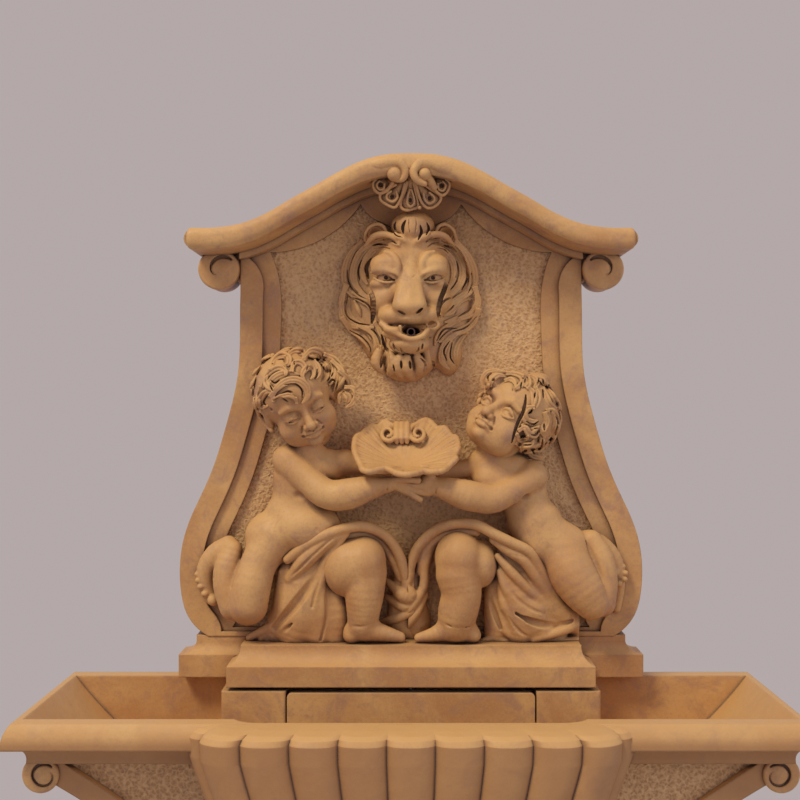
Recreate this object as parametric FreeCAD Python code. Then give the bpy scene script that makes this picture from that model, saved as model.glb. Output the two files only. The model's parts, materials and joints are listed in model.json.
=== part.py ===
import FreeCAD, Part
import math
import os

# Garden wall fountain in cast stone: a pedestal, a trough with a fluted bow front, and an upright panel with
# a lion's mask over two kneeling children who hold a shell. Millimetres. +X to the right, +Y into the wall,
# +Z up. The origin is on the floor, in the middle of the fountain's width and depth.

V = FreeCAD.Vector

# Datums
DEPTH = 420.0                 # from the wall to the front of the flutes
WALL_Y = DEPTH / 2
PEDESTAL_HEIGHT = 240.0
BASIN_HEIGHT = 440.0
RIM_TOP = PEDESTAL_HEIGHT + BASIN_HEIGHT
JOINT_GAP = 6.0               # open joint under the upper casting, held by the shims
FOOT_Z = RIM_TOP + JOINT_GAP
SEAT_CLEARANCE = 0.3          # between a loose piece and what it stands on
PIN_CLEARANCE = 0.05          # radial, for pins, spigots and shafts

# Pedestal
PLINTH_HALF = 330.0
PLINTH_DEPTH = 395.0
PLINTH_FACE = 70.0
PLINTH_COVE = 30.0
STEM_FOOT_HALF = 288.0
STEM_WAIST_HALF = 252.0

# Basin
RIM_HALF = 598.0
RIM_DEPTH = 354.0
RIM_FACE = 38.0
RIM_BULGE = 12.0
RIM_OVERHANG = 3.0
BED_MOULD = 23.0              # height of the cavetto under the rim
BED_INSET = 15.0
APRON_DEPTH = 307.0
BASIN_FOOT_HALF = 264.0
BAND = 33.0                   # the plain band along the apron's edge
APRON_SUNK = 15.0
VOLUTE_RADIUS = 27.0
VOLUTE_HALF = 566.0
VOLUTE_EYE_PROUD = 5.0
BACK_WALL = 30.0
LIP = 25.0
WATER_DEPTH = 202.0           # from the rim's top down to the trough's floor
FLOOR_HALF = 322.0
FLOOR_DEPTH = 250.0
TROUGH_HALF = 589.0
TROUGH_END_PROFILE = ((385.0, 16.0), (446.0, 58.0), (492.0, 98.0), (532.0, 137.0))  # half width, above the floor
FLOOR_Z = RIM_TOP - WATER_DEPTH

# Fluted bow front
BOW_HALF = 336.0
BOW_FLAT_HALF = 249.0
BOW_CORNER = 72.0
FRONT_FLUTES = 7
SIDE_FLUTES = 2               # round each corner and back to the apron
FLUTE_BULGE = 14.0
FLUTE_PROFILE = ((0.0, 0.0), (0.17, 0.72), (0.5, 1.0), (0.83, 0.72), (1.0, 0.0))  # along it, share of the bulge
BOWL_HALF = 274.0
BOWL_LIP = 14.0
BOWL_FLOOR_HALF = 230.0
BOWL_CORNER = 45.0

# Piers and pump cover
PIER_INNER_HALF = 208.0
PIER_WIDTH = 107.0
PIER_DEPTH = 149.0
COVER_THICKNESS = 22.0
COVER_SIDE_GAP = 2.0
COVER_TOP_GAP = 3.0
COVER_CORNER = 8.0
NOTCH_HALF = 50.0
NOTCH_HEIGHT = 22.0

# Upper casting
PANEL_FOOT_HALF = 400.0
PANEL_FOOT_DEPTH = 70.0
PANEL_FOOT_FACE = 39.0
PANEL_FOOT_COVE = 21.0
PANEL_FOOT_NECK = 11.0
NECK_INSET = 29.0
NECK_SET_BACK = 12.0
BAND_DEPTH = 60.0             # wall to the front of the outer band
OUTER_BAND = 39.0
INNER_BAND = 30.0
INNER_BAND_SUNK = 8.0
FIELD_SUNK = 18.0
SHOULDER_HALF = 331.0
SHOULDER_UP = 703.0           # centre of the shoulder scroll above the panel's foot
SHOULDER_RADIUS = 34.0
SHOULDER_PROUD = 6.0
CORNICE_DEPTH = 160.0
CORNICE_TIP_HALF = 369.0
CORNICE_HALF_THICKNESS = 16.0
CORNICE_BEAD = 12.0
CORNICE_BEAD_HALF = 300.0
NECK_Z = FOOT_Z + PANEL_FOOT_FACE + PANEL_FOOT_COVE + PANEL_FOOT_NECK
BAND_Y = WALL_Y - BAND_DEPTH
INNER_BAND_Y = BAND_Y + INNER_BAND_SUNK
FIELD_Y = BAND_Y + FIELD_SUNK

# Shelf that the children kneel on
SHELF_HALF = 307.0
SHELF_DEPTH = 146.0
SHELF_FACE = 34.0
SHELF_COVE = 32.0
SHELF_INSET = 21.0
SHELF_Z = FOOT_Z + SHELF_FACE + SHELF_COVE

# Figures and dish
CHILD_SKULL = (73.0, 62.0, 74.0)
CHILD_JAW = (44.0, 32.0, 38.0)
CHILD_CURL = 23.0
CHILD_PALM = (28.0, 18.0, 21.0)
CHILD_BUTTOCK = 62.0
CHILD_CALF = 38.0
DISH_HALF = 84.0
DISH_TILT = 33.0              # degrees that its rim leans forward
DISH_PROUD = 92.0             # centre of its rim in front of the field
DISH_UP = 334.0               # and above the shelf
DISH_WALL = 9.0
DISH_SINK = 26.0
DISH_LOBES = 9
DISH_HINGE_RADIUS = 13.0

# Spout and riser
MOUTH_UP = 591.0              # spout above the panel's foot
MOUTH_Z = FOOT_Z + MOUTH_UP
PIPE_RADIUS = 7.0
PIPE_BORE = 5.0
PIPE_REACH = 96.0             # in front of the field
TUBE_RADIUS = 8.0
TUBE_BORE = 6.0
TUBE_BACK = 14.5              # centre line of the tube in front of the wall
CHASE_HALF = 15.0
CHASE_DEPTH = 28.0
FOOT_SLOT_DEPTH = 50.0
ELBOW_RADIUS = 9.5
ELBOW_BORE = 3.5
SPIGOT = 16.0
TUBE_Y = WALL_Y - TUBE_BACK

# Pump
PUMP_HALF = 30.0
PUMP_LENGTH = 40.0
PUMP_HEIGHT = 46.0
PUMP_BACK_GAP = 4.0
PUMP_FOOT = 8.0
PUMP_FOOT_RADIUS = 8.0
GRILLE_THICKNESS = 8.0
GRILLE_SLOTS = 6
GRILLE_SLOT = 2.5
GRILLE_TRAVEL = 30.0
DIAL_RADIUS = 8.0
DIAL_THICKNESS = 4.0
ROTOR_CHAMBER = 14.0
ROTOR_CHAMBER_LENGTH = 34.0
MAGNET_RADIUS = 9.0
IMPELLER_RADIUS = 12.5
IMPELLER_BLADES = 6
SHAFT_RADIUS = 1.5
GLAND_RADIUS = 6.0
GLAND_LENGTH = 14.0
PUMP_BACK_Y = WALL_Y - BACK_WALL - PUMP_BACK_GAP
PUMP_FRONT_Y = PUMP_BACK_Y - PUMP_LENGTH
PUMP_BOTTOM_Z = FLOOR_Z + PUMP_FOOT
PUMP_AXIS_Z = PUMP_BOTTOM_Z + PUMP_HEIGHT / 2
OUTLET_Y = PUMP_FRONT_Y + 10.0
PUMP_TOP_Z = PUMP_BOTTOM_Z + PUMP_HEIGHT

# Drain
DRAIN_X = 130.0
DRAIN_FROM_WALL = 285.0
DRAIN_BORE = 12.0
DRAIN_SOCKET = 14.0           # for the sleeve, wider than the bore below it
DRAIN_SLEEVE = 10.0
DRAIN_RING = 22.0
DRAIN_RING_HEIGHT = 3.0
DRAIN_SLEEVE_LENGTH = 26.0
PLUG_HEAD = 15.0
PLUG_HEAD_HEIGHT = 8.0
PLUG_KNOB = 5.0
PLUG_KNOB_HEIGHT = 14.0

# Dowels, shims and hangers
PANEL_DOWEL_RADIUS = 6.0
PANEL_DOWEL_HALF = 180.0
PANEL_DOWEL_DOWN = 50.0
PANEL_DOWEL_UP = 30.0
PEDESTAL_DOWEL_RADIUS = 8.0
PEDESTAL_DOWEL_HALF = 160.0
PEDESTAL_DOWEL_FROM_WALL = 150.0
PEDESTAL_DOWEL_END = 35.0
SHIM_LENGTH = 55.0
SHIM_WIDTH = 22.0
HANGER_HALF = 200.0
HANGER_UP = 640.0
HANGER_WIDTH = 60.0
HANGER_HEIGHT = 36.0
HANGER_THICKNESS = 3.0
HANGER_HOLE = 6.0
HANGER_POCKET_RADIUS = 10.0
HANGER_POCKET_DEPTH = 14.0
HANGER_SCREW_SPACING = 44.0
HANGER_SCREW_RADIUS = 2.0
HANGER_SCREW_HEAD = 4.0
HANGER_SCREW_LENGTH = 20.0


# Plane outlines and blocks

def run_edge(points):
    """A line through two points, an arc through three, or a smooth curve through more."""
    if len(points) == 2:
        return Part.LineSegment(points[0], points[1]).toShape()
    if len(points) == 3:
        return Part.Arc(points[0], points[1], points[2]).toShape()
    spline = Part.BSplineCurve()
    spline.interpolate(points)
    return spline.toShape()


def closed_face(edges):
    """The face inside a ring of edges given in any order."""
    return Part.Face(Part.Wire(Part.__sortEdges__(edges)))


def mirrored_face(runs, y=0.0):
    """A face in the plane y, alike on both sides of x = 0, from the runs of its right edge, lowest first."""
    edges = []
    for side in (1, -1):
        for run in runs:
            edges.append(run_edge([V(side * x, y, z) for x, z in run]))
    for x, z in (runs[0][0], runs[-1][-1]):
        if x > 0:
            edges.append(run_edge([V(-x, y, z), V(x, y, z)]))
    return closed_face(edges)


def slab(face, y_front, y_back):
    """A face of the plane y = 0 as a slab between two planes."""
    placed = face.copy()
    placed.translate(V(0, y_front, 0))
    return placed.extrude(V(0, y_back - y_front, 0))


def depth_face(runs, back=0.0):
    """A face in the plane x = 0 between the wall, or a plane in front of it, and runs of (depth, height)."""
    edges = [run_edge([V(0, WALL_Y - d, z) for d, z in run]) for run in runs]
    low = runs[0][0]
    high = runs[-1][-1]
    near = WALL_Y - back
    edges.append(run_edge([V(0, near, low[1]), V(0, WALL_Y - low[0], low[1])]))
    edges.append(run_edge([V(0, near, high[1]), V(0, WALL_Y - high[0], high[1])]))
    edges.append(run_edge([V(0, near, low[1]), V(0, near, high[1])]))
    return closed_face(edges)


def across(face, half):
    """A face of the plane x = 0 as a bar from -half to half."""
    placed = face.copy()
    placed.translate(V(-half, 0, 0))
    return placed.extrude(V(2 * half, 0, 0))


def moulded_block(half, depth, runs):
    """A block against the wall with one moulding on its front and both ends, mitred at the corners.

    The runs give (inset, height) from the block's greatest half width and depth, lowest first.
    """
    reach = max(-inset for run in runs for inset, z in run) + 1.0
    ends = mirrored_face([[(half - inset, z) for inset, z in run] for run in runs])
    front = depth_face([[(depth - inset, z) for inset, z in run] for run in runs])
    return slab(ends, WALL_Y - depth - reach, WALL_Y).common(across(front, half + reach))


def box(x0, x1, y0, y1, z0, z1):
    return Part.makeBox(x1 - x0, y1 - y0, z1 - z0, V(x0, y0, z0))


def rod(radius, start, end):
    """A cylinder between the centres of its two ends."""
    axis = end - start
    return Part.makeCylinder(radius, axis.Length, start, axis)


def inset_points(points, distance):
    """Points moved off a curve to its left, square to the chord through their neighbours."""
    moved = []
    for i, (x, z) in enumerate(points):
        x0, z0 = points[max(i - 1, 0)]
        x1, z1 = points[min(i + 1, len(points) - 1)]
        length = math.hypot(x1 - x0, z1 - z0)
        moved.append((x - (z1 - z0) / length * distance, z + (x1 - x0) / length * distance))
    return moved


def one_solid(shape):
    """The single solid of a shape, with split faces joined."""
    clean = shape.removeSplitter()
    if len(clean.Solids) != 1:
        raise ValueError("expected one solid, found %d" % len(clean.Solids))
    return clean.Solids[0]


def main_solid(shape):
    """The largest solid of a shape, without the crumbs that a cut along a crossing edge leaves."""
    clean = shape.removeSplitter()
    return max(clean.Solids, key=lambda solid: solid.Volume)


def group(shapes):
    return Part.makeCompound([solid for shape in shapes for solid in shape.Solids])


# Carved forms, as closed skins of flat facets

def skin(rings, flat=True):
    """A closed solid through rings of as many points each, with a facet over the first and the last.

    Flat quads join the rings, or pairs of triangles where the quads would be twisted.
    """
    faces = [Part.Face(Part.makePolygon(ring + ring[:1])) for ring in (rings[0], rings[-1])]
    count = len(rings[0])
    for low, high in zip(rings, rings[1:]):
        for i in range(count):
            j = (i + 1) % count
            corners = [low[i], low[j], high[j], high[i]]
            facets = [corners] if flat else [corners[:3], [corners[0], corners[2], corners[3]]]
            faces += [Part.Face(Part.makePolygon(facet + facet[:1])) for facet in facets]
    solid = Part.Solid(Part.Shell(faces))
    if solid.Volume < 0:
        solid.reverse()
    return solid


def limb(start, end, start_radius, end_radius, sides=8):
    """A tapered limb with rounded ends between two centres."""
    axis = (end - start).normalize()
    across_axis = axis.cross(V(0.31, 0.17, 0.93)).normalize()
    third = axis.cross(across_axis)
    stations = (
        (start - axis * start_radius * 0.86, start_radius * 0.45),
        (start - axis * start_radius * 0.30, start_radius * 0.95),
        (end + axis * end_radius * 0.30, end_radius * 0.95),
        (end + axis * end_radius * 0.86, end_radius * 0.45),
    )
    rings = []
    for centre, radius in stations:
        turns = [2 * math.pi * i / sides for i in range(sides)]
        rings.append([centre + across_axis * radius * math.cos(t) + third * radius * math.sin(t) for t in turns])
    return skin(rings)


def blob(centre, radii, sides=10, bands=4):
    """A faceted egg about a centre, with its own half sizes along X, Y and Z."""
    rings = []
    for k in range(bands + 1):
        rise = math.pi * (k + 0.35) / (bands + 0.7) - math.pi / 2
        ring = []
        for i in range(sides):
            turn = 2 * math.pi * (i + 0.5) / sides
            ring.append(centre + V(radii[0] * math.cos(rise) * math.cos(turn),
                                   radii[1] * math.cos(rise) * math.sin(turn), radii[2] * math.sin(rise)))
        rings.append(ring)
    return skin(rings)


def relief(x, proud, up):
    """A point of the figures: to the right, in front of the field, and above the shelf."""
    return V(x, FIELD_Y - proud, SHELF_Z + up)


def fused(shapes):
    return shapes[0].multiFuse(shapes[1:])


# Pedestal

def bow_section(z, half, reach):
    """The scalloped outline of the bow front at one height, closed behind the apron's face.

    The grooves stand on a flat front, two round corners and two straight returns, which are drawn at full
    size and then brought to the wanted half width and reach.
    """
    full_half = BOW_HALF - FLUTE_BULGE
    full_reach = DEPTH - APRON_DEPTH - FLUTE_BULGE
    straight = full_reach - BOW_CORNER
    corner_arc = BOW_CORNER * math.pi / 2
    flat = full_half - BOW_CORNER

    def on_outline(s):
        """A point and its outward direction, a distance s along the outline from the middle of the front."""
        side = 1 if s >= 0 else -1
        s = abs(s)
        if s <= flat:
            return side * s, -full_reach, 0.0, -1.0
        if s <= flat + corner_arc:
            turn = (s - flat) / BOW_CORNER
            x = flat + BOW_CORNER * math.sin(turn)
            y = -full_reach + BOW_CORNER * (1 - math.cos(turn))
            return side * x, y, side * math.sin(turn), -math.cos(turn)
        return side * full_half, -straight + (s - flat - corner_arc), float(side), 0.0

    total = flat + corner_arc + straight
    front_edge = BOW_FLAT_HALF
    grooves = [front_edge * (2 * k / FRONT_FLUTES - 1) for k in range(FRONT_FLUTES + 1)]
    for k in range(1, SIDE_FLUTES + 1):
        s = front_edge + (total - front_edge) * k / SIDE_FLUTES
        grooves = [-s] + grooves + [s]
    apron_y = WALL_Y - APRON_DEPTH

    def placed(x, y):
        return V(x * half / BOW_HALF, apron_y + y * reach / (DEPTH - APRON_DEPTH), z)

    def flute_point(s, swell):
        x, y, nx, ny = on_outline(s)
        return placed(x + nx * FLUTE_BULGE * swell, y + ny * FLUTE_BULGE * swell)

    def groove_at(s):
        return flute_point(s, 0.0)

    edges = []
    for a, b in zip(grooves, grooves[1:]):
        edges.append(run_edge([flute_point(a + (b - a) * share, swell) for share, swell in FLUTE_PROFILE]))
    first = groove_at(grooves[0])
    last = groove_at(grooves[-1])
    inner_y = apron_y + APRON_SUNK + 10.0
    corner_a = V(first.x, inner_y, z)
    corner_b = V(last.x, inner_y, z)
    edges += [run_edge([last, corner_b]), run_edge([corner_b, corner_a]), run_edge([corner_a, first])]
    return Part.Wire(edges)


def bow_solid(stations):
    """The fluted form through stations of (height, share of the half width, share of the reach)."""
    sections = [bow_section(z, BOW_HALF * w, (DEPTH - APRON_DEPTH) * p) for z, w, p in stations]
    return Part.makeLoft(sections, True, True)


def make_pedestal():
    """The foot: a coved plinth, a waisted block and the end of the fluted bow."""
    plinth_top = PLINTH_FACE + PLINTH_COVE
    plinth = moulded_block(PLINTH_HALF, PLINTH_DEPTH, [
        [(0, 0), (0, PLINTH_FACE)],
        [(0, PLINTH_FACE), (PLINTH_COVE * 0.3, PLINTH_FACE + PLINTH_COVE * 0.7), (PLINTH_COVE, plinth_top)],
    ])
    rise = PEDESTAL_HEIGHT - plinth_top
    block_face = mirrored_face([
        [(STEM_FOOT_HALF, plinth_top - 1.0), (STEM_FOOT_HALF, plinth_top)],
        [(STEM_FOOT_HALF, plinth_top), (STEM_WAIST_HALF + 8.0, plinth_top + rise * 0.32),
         (STEM_WAIST_HALF, plinth_top + rise * 0.68), (BASIN_FOOT_HALF, PEDESTAL_HEIGHT)],
    ])
    block = slab(block_face, WALL_Y - APRON_DEPTH, WALL_Y)
    stem = bow_solid([
        (plinth_top - 1.0, 0.47, 0.62), (plinth_top + rise * 0.2, 0.42, 0.52),
        (plinth_top + rise * 0.6, 0.36, 0.40), (PEDESTAL_HEIGHT, 0.38, 0.42),
    ])
    solid = plinth.fuse(block).fuse(stem)
    for side in (-1, 1):
        solid = solid.cut(pedestal_dowel(side, PIN_CLEARANCE, 0.0))
    solid = solid.cut(rod(DRAIN_BORE, drain_point(-1.0), drain_point(PEDESTAL_HEIGHT + 1.0)))
    return one_solid(solid)


def pedestal_dowel(side, clearance, gap):
    """A dowel between the pedestal and the basin, or its socket where a clearance is given."""
    x = side * PEDESTAL_DOWEL_HALF
    y = WALL_Y - PEDESTAL_DOWEL_FROM_WALL
    half_length = PEDESTAL_DOWEL_END - gap
    return rod(PEDESTAL_DOWEL_RADIUS + clearance, V(x, y, PEDESTAL_HEIGHT - half_length),
               V(x, y, PEDESTAL_HEIGHT + half_length))


def drain_point(z):
    return V(DRAIN_X, WALL_Y - DRAIN_FROM_WALL, z)


# Basin

def apron_curve():
    """The lower edge of the apron's band on the right, from the basin's foot out to the volute."""
    foot = PEDESTAL_HEIGHT
    return [(BASIN_FOOT_HALF, foot), (280.0, foot + 50.0), (315.0, foot + 112.0), (365.0, foot + 185.0),
            (430.0, foot + 256.0), (504.0, foot + 310.0), (VOLUTE_HALF - 17.0, volute_z() - 14.0)]


def volute_z():
    """The volute's centre: it touches the underside of the bed mould."""
    return RIM_TOP - RIM_FACE - BED_MOULD - VOLUTE_RADIUS - 1.0


def volute_roll(side, radius, y_front, y_back):
    return rod(radius, V(side * VOLUTE_HALF, y_front, volute_z()), V(side * VOLUTE_HALF, y_back, volute_z()))


def make_apron():
    """The body of the trough: an S-curved apron with a sunk field, its band and the rolled ends."""
    curve = apron_curve()
    apron_y = WALL_Y - APRON_DEPTH
    top = RIM_TOP - RIM_FACE - BED_MOULD + 6.0
    edge_x = curve[-1][0]
    outline = mirrored_face([curve, [curve[-1], (edge_x, top)]])
    body = slab(outline, apron_y, WALL_Y)
    inner = inset_points(curve, BAND)
    inner_end = (inner[-1][0], volute_z() + VOLUTE_RADIUS * 0.6)
    field_foot = PEDESTAL_HEIGHT + 24.0
    inner = [(BASIN_FOOT_HALF - BAND + 4.0, field_foot)] + inner[1:-1] + [inner_end]
    field = mirrored_face([inner])
    body = body.cut(slab(field, apron_y - 1.0, apron_y + APRON_SUNK))
    for side in (-1, 1):
        body = body.fuse(volute_roll(side, VOLUTE_RADIUS, apron_y, WALL_Y))
        body = body.fuse(volute_roll(side, VOLUTE_RADIUS * 0.38, apron_y - VOLUTE_EYE_PROUD, apron_y + 1.0))
    return body


def make_rim():
    """The rim's solid block: an ovolo face over a cavetto."""
    face_foot = RIM_TOP - RIM_FACE
    mould_foot = face_foot - BED_MOULD
    low_inset = RIM_OVERHANG + BED_INSET
    return moulded_block(RIM_HALF, RIM_DEPTH, [
        [(low_inset, mould_foot - 4.0), (low_inset, mould_foot)],
        [(low_inset, mould_foot), (low_inset - BED_INSET * 0.3, mould_foot + BED_MOULD * 0.7),
         (RIM_OVERHANG, face_foot)],
        [(RIM_OVERHANG, face_foot), (-RIM_BULGE, face_foot)],
        [(-RIM_BULGE, face_foot), (-RIM_BULGE * 0.85, (face_foot + RIM_TOP) / 2), (0, RIM_TOP)],
    ])


def trough_hollow():
    """The trough's hollow: sloped ends and front, a flat floor, and a straight wall at the back."""
    above = RIM_TOP + 4.0
    slope = [(half, FLOOR_Z + rise) for half, rise in TROUGH_END_PROFILE]
    ends = mirrored_face([[(FLOOR_HALF, FLOOR_Z)] + slope + [(TROUGH_HALF + 2.0, above)]])
    depth = depth_face([[
        (FLOOR_DEPTH, FLOOR_Z), (FLOOR_DEPTH + 6.0, FLOOR_Z + 82.0), (FLOOR_DEPTH + 31.0, FLOOR_Z + 150.0),
        (RIM_DEPTH - LIP + 2.0, above),
    ]], BACK_WALL)
    return slab(ends, WALL_Y - RIM_DEPTH, WALL_Y - BACK_WALL).common(across(depth, RIM_HALF))


def bowl_section(z, half, depth, corner):
    """The bowl's inside outline at one height, open to the trough behind it."""
    y_front = WALL_Y - depth
    y_back = WALL_Y - FLOOR_DEPTH + 20.0
    bend = corner * (1 - math.cos(math.pi / 4))
    left = [V(-half, y_front + corner, z), V(-half + bend, y_front + bend, z), V(-half + corner, y_front, z)]
    right = [V(-p.x, p.y, z) for p in reversed(left)]
    edges = [run_edge([V(-half, y_back, z), left[0]]), run_edge(left), run_edge([left[2], right[0]]),
             run_edge(right), run_edge([right[2], V(half, y_back, z)]),
             run_edge([V(half, y_back, z), V(-half, y_back, z)])]
    return Part.Wire(edges)


def bowl_hollow():
    """The hollow of the bow front, which opens into the trough."""
    lip_depth = RIM_DEPTH + RIM_BULGE * 0.6 - BOWL_LIP
    sections = [
        bowl_section(FLOOR_Z, BOWL_FLOOR_HALF, lip_depth - 22.0, BOWL_CORNER),
        bowl_section(FLOOR_Z + 60.0, BOWL_FLOOR_HALF + 16.0, lip_depth - 12.0, BOWL_CORNER),
        bowl_section(RIM_TOP + 1.0, BOWL_HALF, lip_depth, BOWL_CORNER),
    ]
    return Part.makeLoft(sections, True, True)


def make_basin():
    """The trough with its rim, apron, fluted bow front, drain and dowel sockets."""
    foot = PEDESTAL_HEIGHT
    shoulder = RIM_TOP - RIM_FACE
    bow = bow_solid([
        (foot, 0.38, 0.42), (foot + 30.0, 0.415, 0.46), (foot + 70.0, 0.475, 0.52), (foot + 115.0, 0.56, 0.60),
        (foot + 165.0, 0.66, 0.69), (foot + 215.0, 0.755, 0.78), (foot + 265.0, 0.84, 0.86),
        (foot + 315.0, 0.91, 0.925), (foot + 360.0, 0.96, 0.97), (shoulder - 8.0, 0.995, 0.995),
        (shoulder + 20.0, 1.0, 1.0), (shoulder + 28.0, 0.985, 0.965), (shoulder + 33.0, 0.96, 0.88),
        (shoulder + 36.0, 0.925, 0.70), (shoulder + 37.0, 0.89, 0.52),
    ])
    solid = make_apron().fuse(make_rim()).fuse(bow)
    solid = solid.cut(trough_hollow()).cut(bowl_hollow())
    for side in (-1, 1):
        solid = solid.cut(pedestal_dowel(side, PIN_CLEARANCE, 0.0))
        solid = solid.cut(panel_dowel(side, PIN_CLEARANCE, 0.0))
    solid = solid.cut(rod(DRAIN_BORE, drain_point(foot - 1.0), drain_point(FLOOR_Z)))
    solid = solid.cut(rod(DRAIN_SOCKET, drain_point(FLOOR_Z - DRAIN_SLEEVE_LENGTH), drain_point(FLOOR_Z + 1.0)))
    return one_solid(solid)


def panel_dowel(side, clearance, gap):
    """A dowel between the back of the rim and the panel's foot, or its socket."""
    x = side * PANEL_DOWEL_HALF
    y = WALL_Y - BACK_WALL / 2
    return rod(PANEL_DOWEL_RADIUS + clearance, V(x, y, RIM_TOP - PANEL_DOWEL_DOWN + gap),
               V(x, y, FOOT_Z + PANEL_DOWEL_UP - gap))


def make_pier(side):
    """A block with eased upright edges between the trough's floor and the rim's level."""
    inner = side * PIER_INNER_HALF
    outer = side * (PIER_INNER_HALF + PIER_WIDTH)
    back = WALL_Y - BACK_WALL
    front = WALL_Y - PIER_DEPTH
    pier = box(min(inner, outer), max(inner, outer), front, back, FLOOR_Z, RIM_TOP)
    upright = [e for e in pier.Edges if abs(e.tangentAt(e.FirstParameter).z) > 0.9 and
               e.CenterOfMass.y < front + 1.0]
    return pier.makeFillet(5.0, upright)


def make_cover():
    """The loose slab before the pump, with an arched water way under it."""
    half = PIER_INNER_HALF - COVER_SIDE_GAP
    front = WALL_Y - PIER_DEPTH + 2.0
    low = FLOOR_Z + SEAT_CLEARANCE
    cover = box(-half, half, front, front + COVER_THICKNESS, low, RIM_TOP - COVER_TOP_GAP)
    top_corners = [e for e in cover.Edges if abs(e.tangentAt(e.FirstParameter).y) > 0.9 and
                   e.CenterOfMass.z > low + 1.0]
    cover = cover.makeFillet(COVER_CORNER, top_corners)
    notch = mirrored_face([[(NOTCH_HALF, low - 1.0), (NOTCH_HALF, low + 1.0)],
                           [(NOTCH_HALF, low + 1.0), (NOTCH_HALF * 0.7, low + NOTCH_HEIGHT * 0.75),
                            (0, low + NOTCH_HEIGHT)]])
    return cover.cut(slab(notch, front - 1.0, front + COVER_THICKNESS + 1.0))


# Upper casting

def panel_side():
    """The right edge of the panel, from the lowest point of its round foot up to the neck of the shoulder."""
    z = FOOT_Z
    return [(352.0, z + 70.0), (373.0, z + 86.0), (388.0, z + 108.0), (397.0, z + 140.0), (400.0, z + 184.0),
            (395.0, z + 230.0), (381.5, z + 273.0), (363.0, z + 313.0), (339.0, z + 370.0),
            (324.5, z + 417.0), (308.5, z + 476.0), (299.0, z + 526.0), (296.0, z + 581.0),
            (295.0, z + 663.0)]


def cornice_line(lift):
    """The arched cornice's middle line on the right, from the tip in to the peak, moved up by lift."""
    z = FOOT_Z + lift
    return [(360.0, z + 744.0), (330.0, z + 744.0), (295.0, z + 748.0), (266.0, z + 756.0), (233.0, z + 771.0),
            (196.0, z + 793.0), (160.0, z + 813.0), (120.0, z + 836.0), (80.0, z + 855.0), (40.0, z + 865.0),
            (0.0, z + 867.0)]


def make_cornice():
    """The arched cornice: a thick bowed shelf with rounded tips, and a small bead under it."""
    y_front = WALL_Y - CORNICE_DEPTH
    thick = CORNICE_HALF_THICKNESS
    tip = CORNICE_TIP_HALF
    top = cornice_line(thick)
    low = cornice_line(-thick)
    top_left = [(-x, z) for x, z in top[:-1]]
    low_left = [(-x, z) for x, z in low[:-1]]
    top_curve = [V(x, 0, z) for x, z in top_left + top[::-1]]
    low_curve = [V(x, 0, z) for x, z in low_left + low[::-1]]
    middle_z = (top[0][1] + low[0][1]) / 2
    edges = [run_edge(top_curve), run_edge(low_curve)]
    for side in (-1, 1):
        edges.append(run_edge([V(side * top[0][0], 0, top[0][1]), V(side * (tip + 6.0), 0, middle_z),
                               V(side * low[0][0], 0, low[0][1])]))
    shelf = slab(closed_face(edges), y_front, WALL_Y)
    bead_low = cornice_line(-thick - CORNICE_BEAD)
    bead_half = [(x, z) for x, z in bead_low if x < CORNICE_BEAD_HALF]
    bead_right = bead_half[::-1]
    bead_left = [(-x, z) for x, z in bead_half[:-1]]
    bead_curve = [V(x, 0, z) for x, z in bead_left + bead_right]
    end_x = bead_half[0][0]
    rise = thick + CORNICE_BEAD
    bead_edges = [run_edge(bead_curve)]
    bead_top = [V(p.x, 0, p.z + rise) for p in bead_curve]
    bead_edges.append(run_edge(bead_top))
    for side in (-1, 1):
        bead_edges.append(run_edge([V(side * end_x, 0, bead_half[0][1]), V(side * end_x, 0, bead_half[0][1] + rise)]))
    bead = slab(closed_face(bead_edges), BAND_Y - 18.0, WALL_Y)
    return shelf.fuse(bead)


def field_face():
    """The sunk field: parallel to the panel's sides, cusped under the cornice."""
    z = FOOT_Z
    side = inset_points(panel_side(), OUTER_BAND + INNER_BAND)
    side = [(x, h) for x, h in side if h > NECK_Z + 30.0]
    side[0] = (side[0][0], NECK_Z + 12.0)
    corner = (244.0, z + 734.0)
    cusp = (87.0, z + 818.0)
    fall = (50.0, z + 786.0)
    return mirrored_face([
        side + [corner],
        [corner, (165.0, z + 752.0), cusp],
        [cusp, (72.0, z + 798.0), fall],
        [fall, (25.0, z + 774.0), (0.0, z + 769.0)],
    ])


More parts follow.
